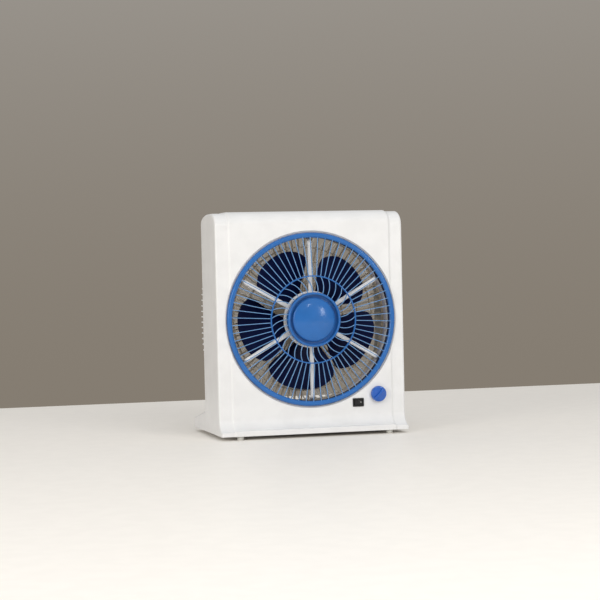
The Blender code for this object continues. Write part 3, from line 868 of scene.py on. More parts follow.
class RibTree(PieceTree):
    """Ribs set round the fan axis at even angles, each a rounded bar along a path."""

    sides = 12

    def path(self, along: Signal) -> Signal:
        """The rib's middle line, as a point for a share from 0 at its outer end to 1 at its inner end."""
        raise NotImplementedError

    def bar(self, path: Callable[[Signal], Signal]) -> Signal:
        """Where a point of a plain cylinder goes on a bar with a rounded oblong section.

        Args:
            path: the middle line.

        Returns:
            The new position.
        """
        graph = self.graph
        x, y, z = graph.parts(graph.node("GeometryNodeInputPosition"))
        along = z + 0.5
        nearby = 0.01
        heading = (path(along + nearby) - path(along - nearby)).unit()
        across = heading.cross(graph.vector(0.0, 0.0, 1.0)).unit()
        upward = across.cross(heading)
        side = x.sign() * abs(x) ** 0.75 * (self.size("Width") * 0.5)
        level = y.sign() * abs(y) ** 0.75 * (self.size("Depth") * 0.5)
        return path(along) + across * side + upward * level

    def cylinder(self) -> Signal:
        """A plain cylinder of radius and length 1 along z."""
        inputs = {
            "Vertices": self.sides, "Side Segments": self.size("Steps"), "Fill Segments": 1, "Radius": 1.0,
            "Depth": 1.0,
        }
        return self.graph.node("GeometryNodeMeshCylinder", {"fill_type": "NGON"}, inputs)

    def pieces(self) -> Signal:
        """Turns one rib to every angle."""
        graph = self.graph
        rib = graph.node(
            "GeometryNodeSetPosition", None, {"Geometry": self.cylinder(), "Position": self.bar(self.path)}
        )
        count = self.size("Count")
        line = graph.node("GeometryNodeMeshLine", {"mode": "OFFSET"}, {"Count": count, "Offset": (0, 0, 0)})
        angle = (graph.node("GeometryNodeInputIndex") + self.size("Phase")) * math.tau / count
        turn = graph.node("FunctionNodeEulerToRotation", None, {0: graph.vector(0.0, 0.0, angle)})
        return graph.node(
            "GeometryNodeInstanceOnPoints", None, {"Points": line, "Instance": rib, "Rotation": turn}
        )


class StraightRibs(RibTree):
    """Ribs that run straight from an outer to an inner ring. Their outer ends may turn back."""

    def path(self, along: Signal) -> Signal:
        """A straight line, less the turn back at the outer end."""
        radius = self.size("Outer Radius") + (self.size("Inner Radius") - self.size("Outer Radius")) * along
        forward = self.size("Outer Forward") + (
            self.size("Inner Forward") - self.size("Outer Forward")
        ) * along
        bend = (1.0 - along / self.size("Bend Share")).at_least(0.0)
        return self.graph.vector(radius, 0.0, forward - self.size("Bend Depth") * bend ** 1.5)


class SwirlRibs(RibTree):
    """Ribs that turn as they run inwards, most of it near the outer ring."""

    def path(self, along: Signal) -> Signal:
        """A curved line."""
        radius = self.size("Outer Radius") + (self.size("Inner Radius") - self.size("Outer Radius")) * along
        forward = self.size("Outer Forward") + (
            self.size("Inner Forward") - self.size("Outer Forward")
        ) * along
        left = 1.0 - along
        turn = self.size("Swirl") * (1.0 - left * left)
        return self.graph.vector(radius * turn.cosine(), radius * turn.sine(), forward)


class BasketRibs(RibTree):
    """Ribs of a squared-off basket: back along its side, round its edge and in to its middle."""

    index_name = "rib"

    def pieces(self) -> Signal:
        """Plain cylinders, each with its number, which shaped puts in place."""
        graph = self.graph
        line = graph.node(
            "GeometryNodeMeshLine", {"mode": "OFFSET"}, {"Count": self.size("Count"), "Offset": (0, 0, 0)}
        )
        inputs = {"Geometry": line, "Name": self.index_name, "Value": graph.node("GeometryNodeInputIndex")}
        numbered = graph.node(
            "GeometryNodeStoreNamedAttribute", {"data_type": "FLOAT", "domain": "POINT"}, inputs
        )
        return graph.node(
            "GeometryNodeInstanceOnPoints", None, {"Points": numbered, "Instance": self.cylinder()}
        )

    def shaped(self, pieces: Signal) -> Signal:
        """Moves every point of every cylinder onto its rib."""
        position = self.bar(self.path)
        return self.graph.node("GeometryNodeSetPosition", None, {"Geometry": pieces, "Position": position})

    def path(self, along: Signal) -> Signal:
        """A quarter of a squared-off round, from the flange to the middle."""
        graph = self.graph
        number = graph.node(
            "GeometryNodeInputNamedAttribute", {"data_type": "FLOAT"}, {"Name": self.index_name}
        )
        angle = (number + self.size("Phase")) * math.tau / self.size("Count")
        across, upward = angle.cosine(), angle.sine()
        power = self.size("Outline Power")
        wide = (abs(across) / self.size("Half Width")) ** power
        high = (abs(upward) / self.size("Half Height")) ** power
        rim = (wide + high) ** (-1.0 / power)
        quarter = along * (math.pi / 2)
        square = 2.0 / self.size("Edge Power")
        inner = self.size("Inner Radius")
        radius = inner + (rim - inner) * quarter.cosine().at_least(0.0) ** square
        forward = self.size(
            "Flange Forward"
        ) - self.size("Basket Depth") * quarter.sine().at_least(0.0) ** square
        return graph.vector(radius * across, radius * upward, forward)


class ScrewTree(PieceTree):
    """Pan-head screws with a cross recess, one on each given point, facing back."""

    def rod(
        self, radius: Signal | float, depth: Signal | float, middle: Signal | float, sides: int
    ) -> Signal:
        """A cylinder along z.

        Args:
            radius: its radius.
            depth: its length.
            middle: where its middle is.
            sides: how many sides it has.

        Returns:
            The mesh.
        """
        graph = self.graph
        inputs = {"Vertices": sides, "Radius": radius, "Depth": depth}
        mesh = graph.node("GeometryNodeMeshCylinder", {"fill_type": "NGON"}, inputs)
        return graph.node(
            "GeometryNodeTransform", None, {0: mesh, "Translation": graph.vector(0.0, 0.0, middle)}
        )

    def pieces(self) -> Signal:
        """A head, domed by scaling a sphere, with two slots cut in it, and its shank."""
        graph = self.graph
        radius, height, shank, length = (
            self.size(name) for name in ("Head Radius", "Head Height", "Shank", "Length")
        )
        ball = graph.node("GeometryNodeMeshUVSphere", None, {"Segments": 24, "Rings": 12, "Radius": 1.0})
        flat = graph.node(
            "GeometryNodeTransform", None, {0: ball, "Scale": graph.vector(radius, radius, height)}
        )
        half = self.rod(radius * 1.2, height * 2.0, height * 1.0, 24)
        slots = [
            graph.node(
                "GeometryNodeTransform", None,
                {
                    0: graph.node(
                        "GeometryNodeMeshCube", None, {"Size": graph.vector(radius * a, radius * b, height)}
                    ),
                    "Translation": graph.vector(0.0, 0.0, height * -1.0),
                },
            )
            for a, b in ((1.3, 0.28), (0.28, 1.3))
        ]
        head = graph.node(
            "GeometryNodeMeshBoolean", {"operation": "DIFFERENCE"}, {"Mesh 1": flat, "Mesh 2": half}
        )
        for slot in slots:
            head = graph.node(
                "GeometryNodeMeshBoolean", {"operation": "DIFFERENCE"}, {"Mesh 1": head, "Mesh 2": slot}
            )
        stem = self.rod(shank, length, length * 0.5, 16)
        join = self.graph.tree.nodes.new("GeometryNodeJoinGeometry")
        for part in (head, stem):
            self.graph.tree.links.new(part.socket, join.inputs[0])
        screw = Signal(graph, join.outputs[0])
        places = Signal(graph, self.inputs.outputs["Places"])
        return graph.node("GeometryNodeInstanceOnPoints", None, {"Points": places, "Instance": screw})


def centre_of(node: str, forward: float) -> Vector:
    """The middle of a CAD node's box in fan coordinates.

    Args:
        node: the node.
        forward: the depth to use instead of the box's own.

    Returns:
        The point.
    """
    low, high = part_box(node)
    return Vector(((low.x + high.x) / 2, (low.z + high.z) / 2 - DATUM.axis_z, forward))


def screws(name: str, stem: str, seat: float, head: float, shank: float, length: float) -> bpy.types.Object:
    """Four screws in place of four CAD ones.

    Args:
        name: the piece's name.
        stem: what the CAD nodes' names start with.
        seat: where the heads sit.
        head: the head's radius.
        shank: the shank's radius.
        length: the shank's length, or a negative one where the heads face forward.

    Returns:
        The piece.
    """
    nodes = [f"{stem}_{i}" for i in range(1, 5)]
    sizes = {"Head Radius": head, "Head Height": head * 0.6, "Shank": shank, "Length": abs(length)}
    tree = ScrewTree(name, sizes, STEEL)
    places = [centre_of(node, 0.0) for node in nodes]
    facing = Matrix.Diagonal((1, 1, 1, 1)) if length > 0 else Matrix.Rotation(math.pi, 4, "Y")
    if length < 0:
        places = [facing @ point for point in places]
    mesh = tree.mesh(places, DATUM.fan @ Matrix.Translation((0, 0, seat)) @ facing)
    return piece(name, mesh, STEEL, Body.CASE, nodes)


# Sub-assemblies


@dataclass
class Case:
    """The two shells, the base plate and the feet."""

    width: float = 0.320
    height: float = 0.373
    depth: float = 0.115
    floor: float = 0.0063
    base_front: float = -0.020
    base_back: float = 0.207
    wall: float = 0.0025
    step: float = 0.002
    panel_half: float = 0.137
    ramp: float = 0.0026
    edge: float = 0.0036
    split: float = 0.100
    gap: float = 0.0003
    opening: float = 0.146
    guard_half: Point = (0.152, 0.149)

    def outline(self, inset: float, floor: float) -> list[Point]:
        """The case seen from its side.

        Args:
            inset: how far inside the largest section it is.
            floor: how low it goes.

        Returns:
            (depth, height) points from the front of the base over the top to the back of the base.
        """
        front, back, top = inset, self.depth - inset, self.height - inset
        lip_top, flare_top = 0.015, 0.034
        front_arch, back_arch = (0.032, 0.021), (0.052, 0.013)
        slope_top, slope_end, tail = 0.042, 0.027, 0.012
        fall = (slope_top - slope_end) / (self.base_back - tail - self.depth)
        drop = inset * math.hypot(1, fall)
        flare = (-self.base_front + inset, flare_top - lip_top + inset)
        turn = math.degrees(math.acos(inset / flare[0]))
        sweep = [
            (y, 2 * flare_top - z) for y, z in arc((self.base_front, flare_top), flare, 0, turn, 18)
        ][::-1]
        lip = (self.base_front + inset, floor)
        points = soften([lip, sweep[0], sweep[1]], 0.0016, 4, closed=False)[:-1] + sweep[1:]
        points += arc((front + front_arch[0], top - front_arch[1]), front_arch, 180, 90, 14)
        points += arc((back - back_arch[0], top - back_arch[1]), back_arch, 90, 0, 14)
        points += soften(
            [(back, top - back_arch[1] - 0.01), (back, slope_top + inset * fall - drop),
             (self.base_back - tail, slope_end - inset)],
            0.006, 5, closed=False,
        )[1:-1]
        points += arc((self.base_back - tail, slope_end - tail), (tail - inset, tail - inset), 90, 0, 10)
        points += [(self.base_back - inset, floor)]
        return points

    def inset_at(self, x: float) -> float:
        """How far the surface is inside the largest section at this distance from the middle."""
        rise = min(1.0, max(0.0, (abs(x) - self.panel_half + self.ramp) / (2 * self.ramp)))
        inset = self.step * rise * rise * (3 - 2 * rise)
        past = abs(x) - (self.width / 2 - self.edge)
        if past > 0:
            inset += self.edge - math.sqrt(max(0.0, self.edge**2 - past**2))
        return inset

    def stations(self) -> list[float]:
        """The places across the width where the section is drawn, closest where it changes."""
        half = self.width / 2
        edge = [half - self.edge + self.edge * math.sin(math.radians(angle)) for angle in range(0, 91, 10)]
        ramp = [self.panel_half + self.ramp * share for share in (-1.0, -0.6, -0.3, 0.0, 0.3, 0.6, 1.0)]
        side = [0.06, 0.125, *ramp, 0.148, *edge]
        return [-x for x in reversed(side)] + [0.0] + side

    def skin(self) -> bpy.types.Mesh:
        """The whole case as one solid."""
        rows = []
        for x in self.stations():
            rows.append([Vector((x, y, z)) for y, z in self.outline(self.inset_at(x), self.floor)])
        return lofted(rows, DATUM.case)

    def hollow(self) -> bpy.types.Mesh:
        """What the shells hold, which is open downwards."""
        half = self.width / 2 - self.wall
        inside = self.outline(self.step + self.wall, 0.0)
        return lofted([[Vector((x, y, z)) for y, z in inside] for x in (-half, half)], DATUM.case)

    def half_space(self, low: float, high: float) -> bpy.types.Mesh:
        """A block that takes away everything between two depths."""
        reach = 0.4
        return prism(
            box_outline(reach, high - low, 0.0, (0.0, (low + high) / 2)), -reach, reach, MERGE, DATUM.case
        )

    def post(self, spot: Point, front: float, back: float) -> bpy.types.Mesh:
        """A tube that a case screw runs through."""
        profile = soften([(0.0045, front), (0.0045, back), (0.0034, back), (0.0034, front)], 0.0004)
        return turned(profile, 32, spot)

    def posts(self) -> list[Point]:
        """Where the case screws stand."""
        return [tuple(centre_of(f"shell_screw_{i}", 0.0).xy) for i in range(1, 5)]

    def build(self) -> None:
        """Makes every piece of the case."""
        self.build_front()
        self.build_back()
        self.build_base()

    def build_front(self) -> None:
        """The front shell with its round opening and the holes for the controls."""
        mouth = soften(
            [
                (0.0, 0.03), (self.opening + 0.0012, 0.03), (self.opening + 0.0012, 0.0004),
                (self.opening, -0.0012), (self.opening, -0.03), (0.0, -0.03),
            ],
            0.0, 1, closed=False,
        )
        knob = centre_of("speed_knob", 0.0)
        switch = centre_of("rocker_frame", 0.0)
        tools = [
            (Carve.CUT, self.half_space(self.split, 0.4)),
            (Carve.CUT, self.hollow()),
            (Carve.CUT, turned(mouth, 192, closed=False)),
            (
                Carve.CUT,
                turned([(0.0, 0.03), (0.0042, 0.03), (0.0042, -0.03), (0.0, -0.03)], 32, knob.xy, False)
            ),
            (Carve.CUT, prism(box_outline(0.0176, 0.0126, 0.0005, switch.xy), -0.03, 0.03, MERGE, DATUM.fan)),
        ]
        shell = carved(self.skin(), tools)
        piece("case_front", shell, WHITE, Body.CASE, ["front_shell"])
        posts = merged(self.post(spot, -0.0040, -0.084) for spot in self.posts())
        piece("case_front_posts", posts, WHITE, Body.CASE)

    def build_back(self) -> None:
        """The rear shell with the guard's opening, the inlet's hole and the screws' wells."""
        rim = 0.009
        window = squircle((self.guard_half[0] - rim, self.guard_half[1] - rim), 128)
        inlet = centre_of("mains_inlet", 0.0)
        tools = [
            (Carve.CUT, self.half_space(-0.4, self.split + self.gap)),
            (Carve.CUT, self.hollow()),
            (Carve.CUT, prism(window, -self.depth - 0.02, -self.depth + 0.02, MERGE, DATUM.fan)),
            (Carve.CUT, prism(box_outline(0.0186, 0.0096, 0.0008, inlet.xy), -0.14, -0.09, MERGE, DATUM.fan)),
        ]
        for spot in self.posts():
            tools.append(
                (
                    Carve.CUT,
                    turned([(0.0, -0.1), (0.0034, -0.1), (0.0034, -0.13), (0.0, -0.13)], 32, spot, False)
                )
            )
        piece("case_back", carved(self.skin(), tools), WHITE, Body.CASE, ["rear_shell"])
        posts = merged(self.post(spot, -0.0843, -0.1125) for spot in self.posts())
        piece("case_back_posts", posts, WHITE, Body.CASE)
        screws("case_screws", "shell_screw", -0.1003, 0.003, 0.0015, 0.032)

    def build_base(self) -> None:
        """The base plate, stiffened by ribs, and the feet."""
        low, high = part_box("base_plate")
        level = Matrix.Identity(4)
        middle = ((low.x + high.x) / 2, (low.y + high.y) / 2)
        outline = box_outline(high.x - low.x, high.y - low.y, 0.004, middle)
        plates = [prism(outline, low.z, high.z, 0.0004, level)]
        for i in range(-3, 4):
            rib = box_outline(0.002, (high.y - low.y) * 0.9, 0.0008, (middle[0] + 0.04 * i, middle[1]))
            plates.append(prism(rib, high.z - 0.0002, high.z + 0.004, 0.0003, level))
        piece("base_cover", merged(plates), WHITE, Body.CASE, ["base_plate"])
        for name in (f"foot_{end}_{side}" for end in ("front", "rear") for side in ("left", "right")):
            low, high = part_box(name)
            radius, tall = (high.x - low.x) / 2, high.z - low.z
            profile = soften(
                [(0.0, tall), (radius, tall), (radius, 0.003), (radius - 0.001, 0.0), (0.0, 0.0)], 0.0008, 4,
                False
            )
            centre = Matrix.Translation(((low.x + high.x) / 2, (low.y + high.y) / 2, low.z))
            piece(f"{name}_pad", turned(profile, 48, closed=False, place=centre), RUBBER, Body.CASE, [name])


def squircle_radius(half: Point, angle: float, power: float = 3.2) -> float:
    """How far a squared-off round reaches at an angle.

    Args:
        half: its half width and half height.
        angle: the angle in radians.
        power: how square it is.

    Returns:
        The distance from its middle.
    """
    return (abs(math.cos(angle) / half[0]) ** power + abs(math.sin(angle) / half[1]) ** power) ** (-1 / power)


def squircle(half: Point, count: int) -> list[Point]:
    """Points on a squared-off round."""
    angles = [math.tau * (i + 0.5) / count for i in range(count)]
    return [(squircle_radius(half, a) * math.cos(a), squircle_radius(half, a) * math.sin(a)) for a in angles]


@dataclass
class AirPath:
    """The duct, the spider in front of the impeller, the grid that holds the motor, and the rear guard."""

    duct_radius: float = 0.140
    duct_length: float = 0.050
    wall: float = 0.0025
    gap: float = 0.0003
    grid_ribs: int = 72
    guard_ribs: int = 100
    guard_half: Point = (0.152, 0.149)
    guard_front: float = -0.1153
    guard_depth: float = 0.0767

    def build(self) -> None:
        """Makes every piece of the air path."""
        self.build_duct()
        self.build_bead()
        self.build_spider()
        self.build_grid()
        self.build_guard()

    def build_duct(self) -> None:
        """A tube with a flange at each end."""
        front, back, flange, wall = -0.0048, -self.duct_length, 0.148, self.duct_radius + self.wall
        profile = [
            (flange, front), (flange, front - self.wall), (wall, front - self.wall), (wall, back + self.wall),
            (flange, back + self.wall), (flange, back), (self.duct_radius, back), (self.duct_radius, front),
        ]
        # The duct's pale lavender colour is partly painted light.
        piece("duct", turned(soften(profile, 0.0006), 160), GREY, Body.CASE, ["duct_ring"])

    def build_spider(self) -> None:
        """Disc, six arms that turn back at their ends, and the ring that fits the duct."""
        front, thick = -0.003, 0.003
        disc = turned(
            soften(
                [(0.0042, front), (0.047, front), (0.047, front - thick), (0.0042, front - thick)], 0.0006
            ), 96
        )
        ring_out = self.duct_radius - self.gap
        ring = turned(
            soften([(ring_out, -0.020), (ring_out, -0.028), (0.1365, -0.028), (0.1365, -0.020)], 0.0006), 128
        )
        sizes = {
            "Count": 6, "Phase": 0.5, "Outer Radius": 0.1378, "Inner Radius": 0.040,
            "Outer Forward": front - thick / 2,
            "Inner Forward": front - thick / 2, "Bend Depth": 0.0195, "Bend Share": 0.11, "Width": 0.0072,
            "Depth": thick * 0.96, "Steps": 48,
        }
        arms = StraightRibs("spider_arms", sizes, WHITE).mesh()
        piece("spider_frame", merged([disc, ring, arms]), WHITE, Body.CASE, ["spider"])

    def build_grid(self) -> None:
        """Rim, rings, ribs and the plate that the motor is screwed to."""
        rim = [
            (0.149, -0.0503), (0.149, -0.060), (self.duct_radius - 0.001, -0.060),
            (self.duct_radius - 0.001, -0.0503)
        ]
        plate = [(0.048, -0.060), (0.048, -0.068), (0.014, -0.068), (0.014, -0.060)]
        parts = [turned(soften(rim, 0.0008), 160), turned(soften(plate, 0.0010), 96)]
        for radius, front in ((0.1215, -0.0525), (0.098, -0.0548), (0.072, -0.0572)):
            ring = [
                (radius, front), (radius, front - 0.006), (radius - 0.0022, front - 0.006),
                (radius - 0.0022, front)
            ]
            parts.append(turned(soften(ring, 0.0005), 128))
        sizes = {
            "Count": self.grid_ribs, "Phase": 0.5, "Outer Radius": 0.1405, "Inner Radius": 0.046,
            "Outer Forward": -0.0553, "Inner Forward": -0.064, "Bend Depth": 0.0, "Bend Share": 1.0,
            "Width": 0.0019,
            "Depth": 0.0068, "Steps": 4,
        }
        # The grid's tan colour is partly painted shade.
        parts.append(StraightRibs("grid_ribs", sizes, SHADED_CREAM).mesh())
        piece("motor_grid_moulding", merged(parts), SHADED_CREAM, Body.CASE, ["motor_grid"])

    def build_bead(self) -> None:
        """The thin white ring on the duct's flange that fills the gap round the louvre."""
        outer, inner, front, back = 0.1456, 0.1446, -0.0022, -0.0045
        bead = [(outer, front), (outer, back), (inner, back), (inner, front)]
        piece("opening_bead", turned(soften(bead, 0.0005), 192), WHITE, Body.CASE)

    def guard_reach(self, angle: float) -> float:
        """How much further than its half width the guard reaches at an angle."""
        return squircle_radius(self.guard_half, angle) - self.guard_half[0]

    def build_guard(self) -> None:
        """A basket of fine ribs on a flange, with round and squared-off rings and a disc in its middle."""
        half_width = self.guard_half[0]
        front, thick, rim = self.guard_front, 0.003, 0.008
        flange = [
            (half_width, front), (half_width, front - thick), (half_width - rim, front - thick),
            (half_width - rim, front)
        ]
        parts = [turned(soften(flange, 0.0008), 192, reach=self.guard_reach)]
        for inset, back in ((0.0035, 0.040), (0.0260, 0.0750)):
            outer, level = half_width - inset, front - back
            ring = [
                (outer, level), (outer, level - 0.0030), (outer - 0.0022, level - 0.0030),
                (outer - 0.0022, level)
            ]
            parts.append(turned(soften(ring, 0.0006), 160, reach=self.guard_reach))
        for radius in (0.101, 0.074):
            ring = [
                (radius, -0.1895), (radius, -0.1945), (radius - 0.0026, -0.1945), (radius - 0.0026, -0.1895)
            ]
            parts.append(turned(soften(ring, 0.0007), 128))
        back = -0.195
        disc = [
            (0.010, back + 0.004), (0.047, back + 0.004), (0.047, back + 0.0012), (0.040, back), (0.010, back)
        ]
        parts.append(turned(soften(disc, 0.0008), 96))
        sizes = {
            "Count": self.guard_ribs, "Phase": 0.5, "Half Width": half_width - 0.0030,
            "Half Height": self.guard_half[1] - 0.0030, "Outline Power": 3.2, "Edge Power": 9.0,
            "Inner Radius": 0.045,
            "Flange Forward": front - 0.001, "Basket Depth": self.guard_depth, "Width": 0.0021,
            "Depth": 0.0034, "Steps": 16,
        }
        parts.append(BasketRibs("guard_ribs", sizes, SHADED_CREAM).mesh())
        piece("rear_guard_basket", merged(parts), WHITE, Body.CASE, ["rear_guard"])
        screws("guard_screws", "guard_screw", front - thick - self.gap, 0.0028, 0.0012, 0.010)


@dataclass
class Louvre:
    """The grille that turns slowly in front of the fan, its cap, and the small motor behind it."""

    radius: float = 0.1434
    inner: float = 0.135
    middle: float = 0.0718
    hub: float = 0.045
    cap: float = 0.0357
    groove: float = 0.0365
    outer_ribs: int = 66
    rib_width: float = 0.0014
    rib_depth: float = 0.0036
    swirl: float = math.radians(-9.5)
    middle_forward: float = 0.011
    hub_forward: float = 0.019

    def build(self) -> None:
        """Makes the grille, its skirt, the cap and the drive."""
        self.build_grille()
        self.build_skirt()
        self.build_cap()
        self.build_drive()

    def build_grille(self) -> None:
        """Rim, two sets of ribs, the ring between them and the hub."""
        rim = [
            (self.inner, 0.0012), (0.1375, 0.0030), (0.1412, 0.0030), (self.radius, 0.0008),
            (self.radius, -0.0030),
            (self.inner, -0.0030),
        ]
        front = self.middle_forward + 0.0025
        half = 0.001
        ring = [
            (self.middle + half, front), (self.middle + half, front - 0.005),
            (self.middle - half, front - 0.005),
            (self.middle - half, front),
        ]
        web, groove, wall = 0.013, 0.0085, 0.0025
        hub = [
            (self.hub - 0.0018, self.hub_forward), (self.hub, self.hub_forward - 0.0018), (self.hub, 0.006),
            (self.groove - wall, 0.006), (self.groove - wall, web - wall), (0.0034, web - wall),
            (0.0034, web),
            (self.groove, web), (self.groove, groove), (self.hub - 0.0038, groove),
            (self.hub - 0.0036, self.hub_forward - 0.0008),
        ]
        straight = {
            "Count": self.outer_ribs, "Phase": 0.5, "Outer Radius": 0.1366, "Inner Radius": self.middle,
            "Outer Forward": 0.0003, "Inner Forward": self.middle_forward, "Bend Depth": 0.0,
            "Bend Share": 1.0,
            "Width": self.rib_width, "Depth": self.rib_depth, "Steps": 3,
        }
        curved = {
            "Count": self.outer_ribs // 2, "Phase": 0.25, "Outer Radius": self.middle,
            "Inner Radius": self.hub - 0.0012, "Outer Forward": self.middle_forward,
            "Inner Forward": self.middle_forward + 0.0035, "Swirl": self.swirl, "Width": self.rib_width,
            "Depth": self.rib_depth, "Steps": 14,
        }
        parts = [
            turned(soften(rim, 0.0012, 4), 192), turned(soften(ring, 0.0007), 160),
            turned(soften(hub, 0.0008, 4), 128),
        ]
        piece("louvre_frame", merged(parts), BLUE, Body.LOUVRE, ["louvre_grille"])
        # The ribs take the paler blue as painted highlight.
        ribs = [
            StraightRibs("straight_ribs", straight, RIB_HIGHLIGHT_BLUE).mesh(),
            SwirlRibs("swirl_ribs", curved, RIB_HIGHLIGHT_BLUE).mesh(),
        ]
        piece("louvre_ribs", merged(ribs), RIB_HIGHLIGHT_BLUE, Body.LOUVRE)

    def build_skirt(self) -> None:
        """The ring behind the rim that runs inside the duct, made dark navy as painted shade for the rim's
        shaded inner wall.
        """
        radius, front, back = 0.1392, -0.0033, -0.0120
        skirt = [(radius, front), (radius, back), (self.inner, back), (self.inner, front)]
        # The navy colour here is painted shade, not the grille's own colour.
        piece("shade_skirt_ring", turned(soften(skirt, 0.0006), 192), NAVY, Body.LOUVRE, ["louvre_skirt"])

    def build_cap(self) -> None:
        """A shallow dome with a rounded shoulder that closes the hub."""
        edge, crown = 0.0136, 0.0198
        rise = crown - edge - 0.0008
        dome = arc((0.0, edge + 0.0008), (self.cap, rise), 90, 0, 24)
        profile = dome + [(self.cap, edge), (0.009, edge), (0.009, edge + 0.0036), (0.0, edge + 0.0036)]
        piece("hub_dome", turned(profile, 128, closed=False), BLUE, Body.LOUVRE, ["hub_cap"])

    def build_drive(self) -> None:
        """The can of the small motor. Its output shaft and the screw that holds the grille stay CAD nodes."""
        can = [
            (0.0, -0.0005), (0.0035, -0.0005), (0.0035, 0.0087), (0.024, 0.0087), (0.024, -0.0027),
            (0.0, -0.0027)
        ]
        piece(
            "louvre_motor_can", turned(soften(can, 0.0009, 4, False), 96, closed=False), ZINC, Body.CASE,
            ["louvre_motor"]
        )


@dataclass
class Impeller:
    """The five-bladed wheel, its nut and shaft."""

    blades: int = 5
    tip: float = 0.118
    phase: float = math.radians(52)
    hub: float = 0.035
    thickness: float = 0.0019
    rows: int = 20
    columns: int = 24

    def blade_point(self, outward: float, across: float) -> tuple[float, float, float]:
        """A point of a blade's middle surface.

        Args:
            outward: 0 at the hub to 1 at the tip.
            across: -1 at one edge to 1 at the other.

        Returns:
            Radius, angle and forward.
        """
        root = self.hub - 0.0012
        tip = self.tip - 0.016 * abs(across) ** 3
        radius = root + (tip - root) * outward
        half_angle = math.radians(19 + 13 * math.sin(math.pi * 0.62 * outward))
        pitch = math.radians(36 - 19 * outward)
        angle = half_angle * across - math.radians(6) * outward
        return radius, angle, -0.033 + 0.002 * outward + radius * half_angle * across * math.tan(pitch)

    def blade(self, start: float) -> bpy.types.Mesh:
        """One blade as a thin closed skin whose edges are thinner than its middle.

        Args:
            start: the blade's angle.

        Returns:
            The mesh in the row frame.
        """
        grid = bmesh.new()
        sheets = []
        for side in (1, -1):
            sheet = []
            for i in range(self.rows + 1):
                row = []
                for j in range(self.columns + 1):
                    outward, across = i / self.rows, 2 * j / self.columns - 1
                    radius, angle, forward = self.blade_point(outward, across)
                    thin = (1 - abs(across) ** 8) * (1 - outward**16)
                    forward += side * self.thickness / 2 * (0.25 + 0.75 * thin)
                    spot = (radius * math.cos(start + angle), radius * math.sin(start + angle), forward)
                    row.append(grid.verts.new(spot))
                sheet.append(row)
            sheets.append(sheet)
        for sheet in sheets:
            for row, following in zip(sheet, sheet[1:]):
                for j in range(self.columns):
                    grid.faces.new((row[j], row[j + 1], following[j + 1], following[j]))
        rims = [
            [row[0] for row in sheet]
            + sheet[-1][1:]
            + [row[-1] for row in reversed(sheet[:-1])]
            + sheet[0][-2:0:-1]
            for sheet in sheets
        ]
        for i in range(len(rims[0])):
            j = (i + 1) % len(rims[0])
            grid.faces.new((rims[0][i], rims[0][j], rims[1][j], rims[1][i]))
        return finished(grid, DATUM.fan, math.radians(60))

    def build(self) -> None:
        """Makes the wheel and its nut."""
        hub = [
            (0.0043, -0.016), (0.030, -0.016), (self.hub, -0.021), (self.hub, -0.045),
            (self.hub - 0.0025, -0.045),
            (self.hub - 0.0025, -0.022), (0.029, -0.019), (0.009, -0.019), (0.009, -0.040), (0.0043, -0.040),
        ]
        parts = [turned(soften(hub, 0.0012), 96)]
        parts += [self.blade(self.phase + math.tau * i / self.blades) for i in range(self.blades)]
        piece("impeller_wheel", merged(parts), NAVY, Body.IMPELLER, ["impeller"])
        nut = [
            (0.0, -0.0080), (0.007, -0.0085), (0.011, -0.0130), (0.011, -0.0157), (0.0043, -0.0157),
            (0.0043, -0.0115),
            (0.0, -0.0115),
        ]
        piece(
            "impeller_cap_nut", turned(soften(nut, 0.0008, 3, False), 64, closed=False), NAVY, Body.IMPELLER,
            ["impeller_nut"]
        )
        shaft = [(0.0, -0.012), (0.004, -0.012), (0.004, -0.136), (0.0, -0.136)]
        piece(
            "main_shaft", turned(soften(shaft, 0.0005, 3, False), 48, closed=False), STEEL, Body.IMPELLER,
            ["motor_shaft"]
        )


@dataclass
class Motor:
    """The motor's two cups and core, with the screws that hold it to its grid. Its windings stay CAD nodes.
    """

    radius: float = 0.045
    front: float = -0.0683
    core_front: float = -0.0863
    core_back: float = -0.1163
    back: float = -0.1343
    gap: float = 0.0003

    def cup(self, face: float, mouth: float) -> list[Point]:
        """A bracket's profile.

        Args:
            face: where its closed end is.
            mouth: where its open end is.

        Returns:
            (radius, forward) points.
        """
        inwards = 1 if mouth > face else -1
        wall = 0.0025
        return [
            (0.0114, face), (self.radius - 0.003, face), (self.radius, face + 0.003 * inwards),
            (self.radius, mouth),
            (self.radius - wall, mouth), (self.radius - wall, face + 0.0035 * inwards),
            (0.015, face + 0.0035 * inwards),
            (0.015, face + 0.0095 * inwards), (0.0114, face + 0.0095 * inwards),
        ]

    def build(self) -> None:
        """Makes the motor's pieces."""
        cups = {
            "motor_front_bracket": self.cup(self.front, self.core_front + self.gap),
            "motor_rear_bracket": self.cup(self.back, self.core_back - self.gap),
        }
        for node, profile in cups.items():
            piece(f"{node}_cup", turned(soften(profile, 0.0012), 96), ZINC, Body.CASE, [node])
        core = [
            (self.radius, self.core_front), (self.radius, self.core_back), (0.027, self.core_back),
            (0.027, self.core_front),
        ]
        piece("stator_stack", turned(soften(core, 0.0004), 96), LAMINATION, Body.CASE, ["stator_core"])
        screws("motor_screws", "motor_screw", -0.0597, 0.004, 0.002, -0.011)


